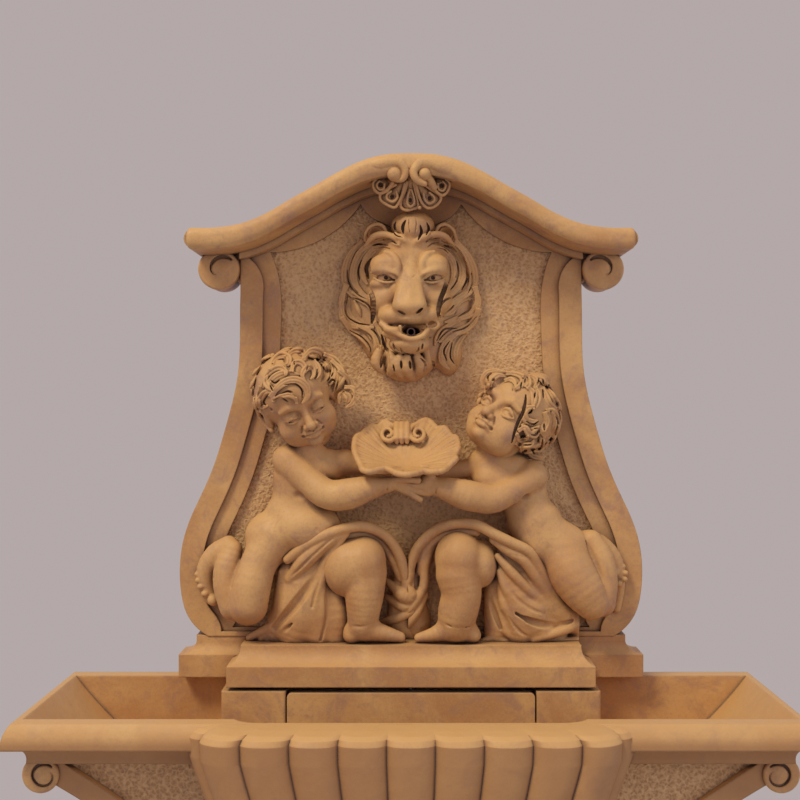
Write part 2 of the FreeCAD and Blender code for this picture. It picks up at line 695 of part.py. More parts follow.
def make_back_panel():
    """The upright casting: moulded foot, banded edge, sunk field, shoulder scrolls, cornice and chase."""
    z = FOOT_Z
    cove_foot = z + PANEL_FOOT_FACE
    cove_top = cove_foot + PANEL_FOOT_COVE
    foot_profile = [
        [(0, z), (0, cove_foot)],
        [(0, cove_foot), (NECK_INSET * 0.72, cove_foot + PANEL_FOOT_COVE * 0.35), (NECK_INSET, cove_top)],
        [(NECK_INSET, cove_top), (NECK_INSET, NECK_Z)],
    ]
    ends = mirrored_face([[(PANEL_FOOT_HALF - i, h) for i, h in run] for run in foot_profile])
    ratio = NECK_SET_BACK / NECK_INSET
    front = depth_face([[(PANEL_FOOT_DEPTH - i * ratio, h) for i, h in run] for run in foot_profile])
    foot = slab(ends, WALL_Y - PANEL_FOOT_DEPTH, WALL_Y).common(across(front, PANEL_FOOT_HALF))

    side = panel_side()
    top_mid = cornice_line(0.0)
    neck_x = side[-1][0]
    arch = [p for p in top_mid if p[0] <= neck_x]
    body_face = mirrored_face([
        [(side[0][0], NECK_Z - 2.0), side[0]],
        side,
        [side[-1], arch[0]],
        arch,
    ])
    body = slab(body_face, BAND_Y, WALL_Y)

    inner = [(x, h) for x, h in inset_points(side, OUTER_BAND) if h > NECK_Z + 26.0]
    inner[0] = (inner[0][0], NECK_Z + 6.0)
    flare = [inner[-1], (259.0, z + 694.0), (268.0, z + 711.0), (286.0, z + 727.0), (306.0, z + 737.0)]
    inner_face = mirrored_face([inner, flare,
                                [flare[-1], (200.0, z + 784.0), (120.0, z + 820.0), (60.0, z + 834.0),
                                 (0.0, z + 837.0)]])
    body = body.cut(slab(inner_face, BAND_Y - 1.0, INNER_BAND_Y))
    body = body.cut(slab(field_face(), BAND_Y - 1.0, FIELD_Y))
    solid = foot.fuse(body).fuse(make_cornice())
    for sign in (-1, 1):
        centre = V(sign * SHOULDER_HALF, 0, z + SHOULDER_UP)
        roll_front = V(centre.x, BAND_Y - SHOULDER_PROUD, centre.z)
        solid = solid.fuse(rod(SHOULDER_RADIUS, roll_front, V(centre.x, WALL_Y, centre.z)))
        eye_front = V(centre.x, BAND_Y - SHOULDER_PROUD - 7.0, centre.z)
        solid = solid.fuse(rod(SHOULDER_RADIUS * 0.36, eye_front, V(centre.x, BAND_Y, centre.z)))
    chase_top = MOUTH_Z + 16.0
    solid = solid.cut(box(-CHASE_HALF, CHASE_HALF, WALL_Y - CHASE_DEPTH, WALL_Y + 1.0, z - 1.0, chase_top))
    solid = solid.cut(box(-CHASE_HALF, CHASE_HALF, WALL_Y - FOOT_SLOT_DEPTH, WALL_Y + 1.0, z - 1.0, NECK_Z))
    solid = solid.cut(spout_bore())
    for sign in (-1, 1):
        solid = solid.cut(panel_dowel(sign, PIN_CLEARANCE, 0.0))
        solid = solid.cut(hanger_pocket(sign))
    return one_solid(solid)


def spout_bore():
    """The hole for the pipe, from the chase out through the lion's mouth."""
    return rod(PIPE_RADIUS + PIN_CLEARANCE, V(0, WALL_Y - CHASE_DEPTH + 1.0, MOUTH_Z),
               V(0, FIELD_Y - PIPE_REACH - 40.0, MOUTH_Z))


def make_shelf(panel):
    """The moulded shelf before the panel's foot, shaped to it at the back."""
    face_top = FOOT_Z + SHELF_FACE
    block = moulded_block(SHELF_HALF, SHELF_DEPTH, [
        [(0, FOOT_Z), (0, face_top)],
        [(0, face_top), (SHELF_INSET * 0.72, face_top + SHELF_COVE * 0.35), (SHELF_INSET, SHELF_Z)],
    ])
    behind = box(-SHELF_HALF, SHELF_HALF, BAND_Y, WALL_Y + 1.0, FOOT_Z - 1.0, SHELF_Z + 1.0)
    return one_solid(block.cut(behind).cut(panel))


# Relief

def make_crest(panel):
    """Two scrolls under the cornice's peak and the palmette that hangs from them."""
    peak = FOOT_Z + 851.0
    scroll_front = WALL_Y - CORNICE_DEPTH - 4.0
    forms = []
    for side in (-1, 1):
        centre = V(side * 18.0, scroll_front, peak)
        forms.append(rod(17.5, centre, V(centre.x, BAND_Y + 1.0, centre.z)))
        forms.append(rod(7.0, centre - V(0, 5.0, 0), centre + V(0, 2.0, 0)))
    leaf_tips = ((0.0, -40.0), (33.0, -30.0), (55.0, -6.0), (-33.0, -30.0), (-55.0, -6.0))
    for dx, dz in leaf_tips:
        root = V(dx * 0.2, BAND_Y - 26.0, peak - 12.0)
        tip = V(dx, BAND_Y - 12.0, peak + dz)
        forms.append(limb(root, tip, 9.0, 14.0))
    crest = fused(forms).cut(panel)
    return one_solid(crest)


def mask_point(x, proud, up):
    """A point of the mask: to the right, in front of the field, and above the mouth."""
    return V(x, FIELD_Y - proud, MOUTH_Z + up)


def make_mask(panel, crest):
    """The lion's mask: skull, brows, muzzle, jaw and the locks of the mane."""
    p = mask_point
    forms = [
        blob(p(0, 28, 92), (82, 60, 92)),
        blob(p(0, 66, 140), (46, 24, 32)),
        limb(p(0, 78, 122), p(0, 90, 36), 15, 21),
        blob(p(0, 58, -24), (30, 30, 17)),
        blob(p(0, 44, -52), (27, 28, 26)),
        blob(p(0, 26, -12), (56, 34, 50)),
        limb(p(0, 52, 168), p(0, 56, 192), 20, 15),
    ]
    locks = (
        ((22, 54, 172), (44, 42, 190), 19, 15),
        ((48, 46, 162), (78, 32, 168), 21, 16),
        ((66, 42, 138), (98, 28, 126), 22, 18),
        ((80, 36, 112), (104, 26, 82), 22, 18),
        ((84, 34, 78), (104, 24, 38), 22, 18),
        ((82, 34, 44), (96, 22, -4), 22, 17),
        ((72, 36, 8), (82, 22, -42), 21, 15),
        ((52, 42, -20), (62, 22, -68), 19, 13),
        ((32, 44, -40), (38, 26, -72), 15, 10),
    )
    for side in (-1, 1):
        forms.append(blob(p(side * 36, 78, 120), (25, 16, 13), 8, 3))
        forms.append(blob(p(side * 21, 82, 20), (27, 24, 19), 8, 4))
        forms.append(blob(p(side * 58, 44, 66), (24, 30, 32), 8, 4))
        forms.append(limb(p(side * 56, 48, 158), p(side * 64, 52, 182), 14, 8, 6))
        for start, end, r0, r1 in locks:
            forms.append(limb(p(side * start[0], start[1], start[2]), p(side * end[0], end[1], end[2]), r0, r1, 6))
    forms.append(limb(p(0, 44, -60), p(4, 26, -84), 18, 9, 6))
    mask = fused(forms)
    mask = mask.cut(blob(p(0, 98, -1), (17, 46, 8), 8, 4))
    mask = mask.cut(spout_bore()).cut(panel).cut(crest)
    return one_solid(mask)


LEFT_CHILD = {
    "pelvis": (-244.0, 46.0, 132.0), "belly": (-196.0, 58.0, 200.0), "chest": (-174.0, 54.0, 268.0),
    "shoulder": (-216.0, 50.0, 286.0), "far_shoulder": (-132.0, 50.0, 292.0), "elbow": (-134.0, 84.0, 242.0),
    "wrist": (-40.0, 86.0, 262.0), "hand": (-14.0, 86.0, 282.0), "neck": (-174.0, 56.0, 322.0),
    "head": (-178.0, 68.0, 406.0), "chin": (-156.0, 96.0, 376.0), "thigh": (-246.0, 62.0, 150.0),
    "knee": (-284.0, 66.0, 58.0), "ankle": (-334.0, 30.0, 140.0), "toes": (-350.0, 36.0, 78.0),
    "front_hip": (-214.0, 60.0, 148.0), "front_knee": (-80.0, 78.0, 148.0), "front_ankle": (-84.0, 66.0, 50.0),
    "heel": (-96.0, 60.0, 20.0), "front_toes": (-26.0, 68.0, 14.0),
}
RIGHT_CHILD = {
    "pelvis": (248.0, 46.0, 132.0), "belly": (206.0, 58.0, 200.0), "chest": (176.0, 54.0, 264.0),
    "shoulder": (222.0, 50.0, 276.0), "far_shoulder": (128.0, 54.0, 288.0), "elbow": (132.0, 84.0, 236.0),
    "wrist": (46.0, 86.0, 262.0), "hand": (24.0, 88.0, 282.0), "neck": (168.0, 56.0, 318.0),
    "head": (182.0, 60.0, 384.0), "chin": (128.0, 84.0, 378.0), "thigh": (250.0, 62.0, 150.0),
    "knee": (304.0, 64.0, 58.0), "ankle": (330.0, 30.0, 140.0), "toes": (350.0, 36.0, 86.0),
    "front_hip": (214.0, 60.0, 148.0), "front_knee": (80.0, 78.0, 148.0), "front_ankle": (80.0, 66.0, 50.0),
    "heel": (98.0, 60.0, 20.0), "front_toes": (22.0, 68.0, 14.0),
}


def make_child(joints, cutters):
    """A kneeling child from its joints, cut back to the panel, the shelf and what it holds."""
    at = {name: relief(*place) for name, place in joints.items()}
    bones = (
        ("pelvis", "belly", 66, 66), ("belly", "chest", 64, 58), ("shoulder", "far_shoulder", 40, 38),
        ("shoulder", "elbow", 36, 28), ("elbow", "wrist", 29, 20), ("neck", "chest", 34, 44),
        ("thigh", "knee", 56, 40), ("knee", "ankle", 36, 24), ("ankle", "toes", 22, 26),
        ("front_hip", "front_knee", 50, 44), ("front_knee", "front_ankle", 43, 32),
        ("front_ankle", "heel", 30, 24), ("heel", "front_toes", 24, 18),
    )
    forms = [limb(at[a], at[b], ra, rb) for a, b, ra, rb in bones]
    forms.append(blob(at["head"], CHILD_SKULL, 12, 6))
    forms.append(blob(at["chin"], CHILD_JAW, 8, 4))
    forms.append(blob(at["hand"], CHILD_PALM, 8, 4))
    forms.append(blob(at["pelvis"], (CHILD_BUTTOCK, CHILD_BUTTOCK * 0.8, CHILD_BUTTOCK), 10, 4))
    calf = at["knee"] + (at["ankle"] - at["knee"]) * 0.55
    forms.append(blob(calf, (CHILD_CALF, CHILD_CALF * 0.9, CHILD_CALF * 1.3), 8, 4))
    away = 1 if at["head"].x > at["chin"].x else -1
    for turn in (-38, -4, 30, 62, 94, 126, 158):
        lean = math.radians(turn)
        curl = at["head"] + V(away * CHILD_SKULL[0] * 0.84 * math.cos(lean), 4.0,
                              CHILD_SKULL[2] * 0.84 * math.sin(lean))
        forms.append(blob(curl, (CHILD_CURL, CHILD_CURL * 1.3, CHILD_CURL), 7, 3))
    child = fused(forms)
    for cutter in cutters:
        child = child.cut(cutter)
    return one_solid(child)


def make_drapery(side, cutters):
    """The cloth over one child's lap: a roll over the thigh and folds that hang to the shelf."""
    rolls = (
        ((236, 74, 150), (160, 82, 176), 20, 24), ((160, 82, 176), (92, 84, 186), 25, 22),
        ((92, 82, 182), (42, 78, 150), 20, 15), ((42, 78, 150), (22, 66, 92), 15, 11),
    )
    folds = (
        ((214, 56, 132), (250, 48, 14), 34, 26), ((200, 58, 134), (214, 54, 14), 34, 28),
        ((182, 60, 134), (180, 56, 12), 32, 26), ((162, 60, 130), (148, 52, 12), 30, 24),
        ((34, 52, 88), (18, 42, 18), 20, 16),
    )
    forms = []
    for start, end, r0, r1 in rolls + folds:
        a = relief(side * start[0], start[1], start[2])
        b = relief(side * end[0], end[1], end[2])
        forms.append(limb(a, b, r0, r1, 7))
    forms.append(limb(relief(side * 60, 30, 60), relief(side * 230, 30, 70), 34, 40, 7))
    cloth = fused(forms)
    for cutter in cutters:
        cloth = cloth.cut(cutter)
    return main_solid(cloth)


def make_dish(cutters):
    """The scallop: a lobed shallow cup, tipped forward, with a rolled hinge at its back."""
    lean = math.radians(DISH_TILT)
    centre = relief(-6.0, DISH_PROUD, DISH_UP)
    u = V(1, 0, 0)
    w = V(0, math.cos(lean), math.sin(lean))
    n = V(0, -math.sin(lean), math.cos(lean))
    count = 2 * DISH_LOBES

    def ring(share, lift):
        """A lobed ring at a share of the full size, lifted along the cup's axis."""
        points = []
        for i in range(count):
            turn = 2 * math.pi * (i + 0.5) / count
            lobe = 1.0 + (0.05 if i % 2 else -0.02) * min(share, 1.0)
            radius = DISH_HALF * share * lobe
            points.append(centre + u * radius * math.cos(turn) + w * radius * 0.88 * math.sin(turn) + n * lift)
        return points

    rings = [ring(0.25, -DISH_SINK - DISH_WALL), ring(0.62, -DISH_SINK * 0.72 - DISH_WALL),
             ring(0.97, -DISH_WALL * 0.6), ring(1.0, 0.0), ring(0.88, -1.0),
             ring(0.58, -DISH_SINK * 0.72), ring(0.22, -DISH_SINK)]
    cup = skin(rings, flat=False)
    hinge = centre + w * DISH_HALF * 0.62 + n * 2.0
    roll = [rod(DISH_HINGE_RADIUS, hinge + u * (side * 16.0) - u * 7.0 + n * 3.0, hinge + u * (side * 16.0) + u * 7.0 + n * 3.0)
            for side in (-1, 1)]
    tongue = limb(hinge + w * 12.0 - n * 10.0, hinge - w * 8.0 + n * 4.0, 13.0, 11.0)
    dish = fused([cup, tongue] + roll)
    for cutter in cutters:
        dish = dish.cut(cutter)
    return one_solid(dish)


# Water circuit

def tube_route():
    """The riser's route: up from the pump, back past the rim, and up the chase to the elbow."""
    return [V(0, OUTLET_Y, PUMP_TOP_Z + 16.0), V(0, OUTLET_Y, PUMP_TOP_Z + 74.0),
            V(0, TUBE_Y, RIM_TOP + 85.0), V(0, TUBE_Y, MOUTH_Z - ELBOW_RADIUS - 4.0)]


def smooth_path(points, radii):
    """Straight runs through the points, joined by tangent arcs of the given radii."""
    edges = []
    start = points[0]
    for before, corner, after, radius in zip(points, points[1:], points[2:], radii):
        come = (corner - before).normalize()
        go = (after - corner).normalize()
        turn = come.getAngle(go)
        reach = radius * math.tan(turn / 2)
        arc_start = corner - come * reach
        arc_end = corner + go * reach
        centre_way = (go - come).normalize()
        middle = corner + centre_way * (radius / math.cos(turn / 2) - radius)
        edges.append(run_edge([start, arc_start]))
        edges.append(run_edge([arc_start, middle, arc_end]))
        start = arc_end
    edges.append(run_edge([start, points[-1]]))
    return Part.Wire(edges)


def make_tube():
    """The vinyl riser with its bore."""
    points = tube_route()
    path = smooth_path(points, (150.0, 250.0))
    way = (points[1] - points[0]).normalize()

    def swept(radius):
        ring = Part.Wire([Part.makeCircle(radius, points[0], way)])
        return path.makePipeShell([ring], True, False)

    tube = swept(TUBE_RADIUS).cut(swept(TUBE_BORE))
    section = math.pi * (TUBE_RADIUS ** 2 - TUBE_BORE ** 2)
    print("riser tube: length %.1f, volume over section times length %.4f" %
          (path.Length, tube.Volume / (section * path.Length)))
    return one_solid(tube)


def make_elbow():
    """The barbed elbow between the riser and the pipe."""
    corner = V(0, TUBE_Y, MOUTH_Z)
    chase_front = WALL_Y - CHASE_DEPTH
    down = V(0, TUBE_Y, MOUTH_Z - ELBOW_RADIUS - 4.0 - SPIGOT * 1.6)
    out = V(0, chase_front - SPIGOT, MOUTH_Z)
    body = Part.makeSphere(ELBOW_RADIUS, corner)
    body = body.fuse(rod(TUBE_BORE - PIN_CLEARANCE, corner, down))
    body = body.fuse(rod(PIPE_BORE - PIN_CLEARANCE, corner, out))
    body = body.cut(rod(ELBOW_BORE, corner, down + V(0, 0, -1.0)))
    body = body.cut(rod(ELBOW_BORE, corner, out + V(0, -1.0, 0)))
    return one_solid(body)


def make_pipe():
    """The copper pipe in the lion's mouth."""
    start = V(0, WALL_Y - CHASE_DEPTH, MOUTH_Z)
    end = V(0, FIELD_Y - PIPE_REACH, MOUTH_Z)
    return rod(PIPE_RADIUS, start, end).cut(rod(PIPE_BORE, start, end))


def make_clamp(y, z):
    """A screw clamp round the tube."""
    low = V(0, y, z - 4.0)
    high = V(0, y, z + 4.0)
    ring = rod(TUBE_RADIUS + PIN_CLEARANCE + 1.4, low, high)
    ring = ring.fuse(box(TUBE_RADIUS, TUBE_RADIUS + 5.0, y - 4.0, y + 4.0, z - 3.5, z + 3.5))
    return one_solid(ring.cut(rod(TUBE_RADIUS + PIN_CLEARANCE, low, high)))


# Pump

def make_pump_body():
    """The pump's housing: rotor chamber at the front, outlet spigot on top, sealed windings behind."""
    shell = box(-PUMP_HALF, PUMP_HALF, PUMP_FRONT_Y, PUMP_BACK_Y, PUMP_BOTTOM_Z, PUMP_TOP_Z)
    shell = shell.makeFillet(6.0, [e for e in shell.Edges if abs(e.tangentAt(e.FirstParameter).y) > 0.9])
    spigot_top = V(0, OUTLET_Y, PUMP_TOP_Z + 16.0 + SPIGOT * 1.6)
    seat_top = V(0, OUTLET_Y, PUMP_TOP_Z + 16.0)
    shell = shell.fuse(rod(TUBE_RADIUS, V(0, OUTLET_Y, PUMP_TOP_Z - 1.0), seat_top))
    shell = shell.fuse(rod(TUBE_BORE - PIN_CLEARANCE, seat_top, spigot_top))
    chamber_front = V(0, PUMP_FRONT_Y - 1.0, PUMP_AXIS_Z)
    chamber_back = V(0, PUMP_FRONT_Y + ROTOR_CHAMBER_LENGTH, PUMP_AXIS_Z)
    shell = shell.cut(rod(ROTOR_CHAMBER, chamber_front, chamber_back))
    shell = shell.cut(rod(ELBOW_BORE, V(0, OUTLET_Y, PUMP_AXIS_Z), spigot_top + V(0, 0, 1.0)))
    shell = shell.cut(rod(SHAFT_RADIUS + PIN_CLEARANCE, chamber_back - V(0, 1.0, 0), chamber_back + V(0, 3.0, 0)))
    return one_solid(shell)


def make_shaft():
    """The fixed ceramic shaft, held in the housing and in the grille."""
    return rod(SHAFT_RADIUS, V(0, PUMP_FRONT_Y - 3.0, PUMP_AXIS_Z),
               V(0, PUMP_FRONT_Y + ROTOR_CHAMBER_LENGTH + 3.0, PUMP_AXIS_Z))


def make_rotor():
    """The magnet and the bladed impeller in front of it."""
    front = PUMP_FRONT_Y + 4.0
    disc_back = front + 9.0
    axis = PUMP_AXIS_Z
    disc = rod(IMPELLER_RADIUS, V(0, disc_back - 2.5, axis), V(0, disc_back, axis))
    magnet = rod(MAGNET_RADIUS, V(0, disc_back - 0.5, axis), V(0, PUMP_FRONT_Y + ROTOR_CHAMBER_LENGTH - 1.0, axis))
    hub = rod(4.0, V(0, front, axis), V(0, disc_back, axis))
    rotor = disc.fuse(magnet).fuse(hub)
    for k in range(IMPELLER_BLADES):
        blade = box(2.0, IMPELLER_RADIUS - 0.4, front, disc_back - 1.0, -0.8, 0.8)
        blade.rotate(V(0, 0, 0), V(0, 1, 0), 360.0 * k / IMPELLER_BLADES)
        blade.translate(V(0, 0, axis))
        rotor = rotor.fuse(blade)
    bore = rod(SHAFT_RADIUS + PIN_CLEARANCE, V(0, front - 1.0, axis), V(0, PUMP_BACK_Y, axis))
    return one_solid(rotor.cut(bore))


def make_grille():
    """The slotted intake cover that slides off the pump's front."""
    back = PUMP_FRONT_Y
    front = back - GRILLE_THICKNESS
    plate = box(-PUMP_HALF, PUMP_HALF, front, back, PUMP_BOTTOM_Z, PUMP_TOP_Z)
    plate = plate.makeFillet(6.0, [e for e in plate.Edges if abs(e.tangentAt(e.FirstParameter).y) > 0.9])
    pitch = 2 * (PUMP_HALF - 6.0) / (2 * GRILLE_SLOTS)
    for side in (-1, 1):
        for k in range(GRILLE_SLOTS // 2 + 1):
            x = side * (DIAL_RADIUS + 4.0 + k * pitch)
            plate = plate.cut(box(x - GRILLE_SLOT / 2, x + GRILLE_SLOT / 2, front - 1.0, back + 1.0,
                                  PUMP_BOTTOM_Z + 8.0, PUMP_TOP_Z - 8.0))
    socket_start = V(0, back + 1.0, PUMP_AXIS_Z)
    plate = plate.cut(rod(SHAFT_RADIUS + PIN_CLEARANCE, socket_start, V(0, back - 3.5, PUMP_AXIS_Z)))
    pin_end = V(0, front - DIAL_THICKNESS - 1.0, PUMP_AXIS_Z)
    return one_solid(plate.fuse(rod(2.5, V(0, front + 1.0, PUMP_AXIS_Z), pin_end)))


def make_dial():
    """The flow control: a ribbed knob on the grille's pin."""
    front = PUMP_FRONT_Y - GRILLE_THICKNESS - SEAT_CLEARANCE
    dial = rod(DIAL_RADIUS, V(0, front, PUMP_AXIS_Z), V(0, front - DIAL_THICKNESS, PUMP_AXIS_Z))
    rib_half = 1.2
    dial = dial.fuse(box(-rib_half, rib_half, front - DIAL_THICKNESS - 2.0, front - DIAL_THICKNESS + 0.5,
                         PUMP_AXIS_Z + 3.0, PUMP_AXIS_Z + DIAL_RADIUS))
    bore = rod(2.5 + PIN_CLEARANCE, V(0, front + 1.0, PUMP_AXIS_Z), V(0, front - 20.0, PUMP_AXIS_Z))
    return one_solid(dial.cut(bore))


def make_pump_feet():
    """Four suction feet between the pump and the trough's floor."""
    inset = PUMP_FOOT_RADIUS + 3.0
    feet = []
    for x in (-PUMP_HALF + inset, PUMP_HALF - inset):
        for y in (PUMP_FRONT_Y + inset, PUMP_BACK_Y - inset):
            feet.append(Part.makeCone(PUMP_FOOT_RADIUS, PUMP_FOOT_RADIUS * 0.55, PUMP_FOOT, V(x, y, FLOOR_Z)))
    return feet


def make_gland():
    """The gland where the pump's lead would enter."""
    x = PUMP_HALF - GLAND_RADIUS - 4.0
    y = PUMP_BACK_Y - GLAND_RADIUS - 4.0
    seat = rod(GLAND_RADIUS, V(x, y, PUMP_TOP_Z), V(x, y, PUMP_TOP_Z + GLAND_LENGTH * 0.5))
    nose = Part.makeCone(GLAND_RADIUS * 0.85, GLAND_RADIUS * 0.6, GLAND_LENGTH * 0.5,
                         V(x, y, PUMP_TOP_Z + GLAND_LENGTH * 0.5))
    socket = rod(2.6, V(x, y, PUMP_TOP_Z + GLAND_LENGTH * 0.3), V(x, y, PUMP_TOP_Z + GLAND_LENGTH + 1.0))
    return one_solid(seat.fuse(nose).cut(socket))


# Drain

def make_drain_washer():
    """The ring and sleeve let into the trough's floor."""
    ring = rod(DRAIN_RING, drain_point(FLOOR_Z), drain_point(FLOOR_Z + DRAIN_RING_HEIGHT))
    low = FLOOR_Z - DRAIN_SLEEVE_LENGTH + 1.0
    sleeve = rod(DRAIN_SOCKET - PIN_CLEARANCE, drain_point(low), drain_point(FLOOR_Z + 1.0))
    bore = rod(DRAIN_SLEEVE, drain_point(low - 1.0),
               drain_point(FLOOR_Z + DRAIN_RING_HEIGHT + 1.0))
    return one_solid(ring.fuse(sleeve).cut(bore))


def make_drain_plug():
    """The rubber stopper, with a knob to lift it by."""
    seat = FLOOR_Z + DRAIN_RING_HEIGHT + SEAT_CLEARANCE
    stem = Part.makeCone(DRAIN_SLEEVE - 1.2, DRAIN_SLEEVE - SEAT_CLEARANCE, DRAIN_SLEEVE_LENGTH * 0.7,
                         drain_point(seat - DRAIN_SLEEVE_LENGTH * 0.7))
    head = rod(PLUG_HEAD, drain_point(seat), drain_point(seat + PLUG_HEAD_HEIGHT))
    knob = Part.makeCone(PLUG_KNOB, PLUG_KNOB * 1.4, PLUG_KNOB_HEIGHT, drain_point(seat + PLUG_HEAD_HEIGHT))
    return one_solid(stem.fuse(head).fuse(knob))


# Small pieces between the castings and at the wall

def make_shims():
    """Packs in the open joint: two on the piers and two on the back of the rim."""
    shims = []
    for side in (-1, 1):
        pier_x = side * (PIER_INNER_HALF + PIER_WIDTH / 2)
        pier_y = WALL_Y - (PIER_DEPTH + BACK_WALL) / 2
        rim_x = side * (PANEL_FOOT_HALF - 20.0 - SHIM_LENGTH / 2)
        rim_y = WALL_Y - BACK_WALL / 2
        for x, y in ((pier_x, pier_y), (rim_x, rim_y)):
            shims.append(box(x - SHIM_LENGTH / 2, x + SHIM_LENGTH / 2, y - SHIM_WIDTH / 2, y + SHIM_WIDTH / 2,
                             RIM_TOP, FOOT_Z))
    return shims


def hanger_place(side):
    return V(side * HANGER_HALF, WALL_Y, FOOT_Z + HANGER_UP)


def hanger_screws_at(side):
    centre = hanger_place(side)
    return [centre + V(s * HANGER_SCREW_SPACING / 2, 0, 0) for s in (-1, 1)]


def hanger_pocket(side):
    """The rebate for a hanger plate, the room behind its hole and the two screw holes."""
    c = hanger_place(side)
    half_w = HANGER_WIDTH / 2 + 0.2
    half_h = HANGER_HEIGHT / 2 + 0.2
    pocket = box(c.x - half_w, c.x + half_w, WALL_Y - HANGER_THICKNESS, WALL_Y + 1.0, c.z - half_h, c.z + half_h)
    pocket = pocket.fuse(rod(HANGER_POCKET_RADIUS, c, c - V(0, HANGER_POCKET_DEPTH, 0)))
    for place in hanger_screws_at(side):
        pocket = pocket.fuse(rod(HANGER_SCREW_RADIUS + PIN_CLEARANCE, place, place - V(0, HANGER_SCREW_LENGTH, 0)))
    return pocket


def make_hanger(side):
    """A steel plate let in flush with the panel's back, with a hole for the wall screw."""
    c = hanger_place(side)
    plate = box(c.x - HANGER_WIDTH / 2, c.x + HANGER_WIDTH / 2, WALL_Y - HANGER_THICKNESS, WALL_Y,
                c.z - HANGER_HEIGHT / 2, c.z + HANGER_HEIGHT / 2)
    plate = plate.cut(rod(HANGER_HOLE, c + V(0, 1.0, 0), c - V(0, 10.0, 0)))
    for place in hanger_screws_at(side):
        plate = plate.cut(hanger_screw(place, PIN_CLEARANCE))
    return plate


def hanger_screw(place, clearance):
    """A countersunk screw, or its hole where a clearance is given."""
    head_depth = HANGER_SCREW_HEAD - HANGER_SCREW_RADIUS
    shank = rod(HANGER_SCREW_RADIUS + clearance, place, place - V(0, HANGER_SCREW_LENGTH - 1.0, 0))
    head = Part.makeCone(HANGER_SCREW_HEAD + clearance, HANGER_SCREW_RADIUS + clearance, head_depth, place,
                         V(0, -1, 0))
    return shank.fuse(head)


def build():
    """Every piece by the name of its node."""
    panel = make_back_panel()
    shelf = make_shelf(panel)
    crest = make_crest(panel)
    mask = make_mask(panel, crest)
    under_shelf = box(-SHELF_HALF, SHELF_HALF, WALL_Y - SHELF_DEPTH - 60.0, BAND_Y, FOOT_Z, SHELF_Z)
    base = [panel, under_shelf]
    left = make_child(LEFT_CHILD, base)
    right = make_child(RIGHT_CHILD, base + [left])
    dish = make_dish([left, right, panel])
    cloth_left = make_drapery(-1, base + [left, right])
    cloth_right = make_drapery(1, base + [left, right, cloth_left])
    return {
        "pedestal": make_pedestal(),
        "basin": make_basin(),
        "pier_left": make_pier(-1),
        "pier_right": make_pier(1),
        "pump_cover": make_cover(),
        "back_panel": panel,
        "front_plinth": shelf,
        "crest_palmette": crest,
        "lion_mask": mask,
        "putto_left": left,
        "putto_right": right,
        "drapery_left": cloth_left,
        "drapery_right": cloth_right,
        "shell_dish": dish,
        "spout_pipe": make_pipe(),
        "spout_elbow": make_elbow(),
        "riser_tube": make_tube(),
        "hose_clamps": group([make_clamp(OUTLET_Y, PUMP_TOP_Z + 26.0),
                              make_clamp(TUBE_Y, MOUTH_Z - ELBOW_RADIUS - 14.0)]),
        "pump_body": make_pump_body(),
        "pump_feet": group(make_pump_feet()),
        "intake_grille": make_grille(),
        "flow_dial": make_dial(),
        "rotor_shaft": make_shaft(),
        "rotor": make_rotor(),
        "cable_gland": make_gland(),
        "drain_washer": make_drain_washer(),
        "drain_plug": make_drain_plug(),
        "setting_shims": group(make_shims()),
        "panel_dowels": group([panel_dowel(side, 0.0, 1.0) for side in (-1, 1)]),
        "pedestal_dowels": group([pedestal_dowel(side, 0.0, 1.0) for side in (-1, 1)]),
        "hanger_plates": group([make_hanger(side) for side in (-1, 1)]),
        "hanger_screws": group([hanger_screw(place, 0.0) for side in (-1, 1) for place in hanger_screws_at(side)]),
    }


def main():
    os.makedirs("parts", exist_ok=True)
    for name, shape in build().items():
        if not shape.isValid():
            raise ValueError("%s is not valid" % name)
        print("%-16s %d solid, %4d faces, %.1f cm3" % (name, len(shape.Solids), len(shape.Faces), shape.Volume / 1000))
        shape.exportStep("parts/%s.step" % name)


main()
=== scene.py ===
"""The garden wall fountain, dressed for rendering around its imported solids.

Lengths are millimetres until a mesh is made, which is in metres. X runs to the right of someone who looks at
the fountain, Y into the wall and Z up, with the origin on the floor.
"""

from __future__ import annotations

import json
import logging
import math
from dataclasses import dataclass
from enum import Enum
from typing import Sequence

import bpy
import numpy as np
import openvdb
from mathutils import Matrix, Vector

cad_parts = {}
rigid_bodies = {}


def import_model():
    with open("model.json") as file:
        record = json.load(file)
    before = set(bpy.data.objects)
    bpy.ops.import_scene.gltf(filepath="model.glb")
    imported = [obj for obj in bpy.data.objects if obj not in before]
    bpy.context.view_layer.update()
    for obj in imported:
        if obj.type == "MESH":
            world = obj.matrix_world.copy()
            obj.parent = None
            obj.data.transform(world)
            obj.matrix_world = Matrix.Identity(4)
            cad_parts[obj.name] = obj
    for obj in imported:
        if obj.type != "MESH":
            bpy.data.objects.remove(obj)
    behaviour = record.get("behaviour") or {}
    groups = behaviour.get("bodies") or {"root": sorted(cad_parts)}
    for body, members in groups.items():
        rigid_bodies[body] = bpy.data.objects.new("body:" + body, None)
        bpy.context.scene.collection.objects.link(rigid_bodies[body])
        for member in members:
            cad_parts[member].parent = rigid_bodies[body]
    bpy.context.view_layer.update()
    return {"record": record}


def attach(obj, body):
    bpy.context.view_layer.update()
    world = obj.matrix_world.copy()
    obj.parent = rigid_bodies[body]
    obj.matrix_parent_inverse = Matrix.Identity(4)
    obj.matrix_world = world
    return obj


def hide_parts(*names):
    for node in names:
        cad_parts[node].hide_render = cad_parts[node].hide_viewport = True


log = logging.getLogger("fountain")

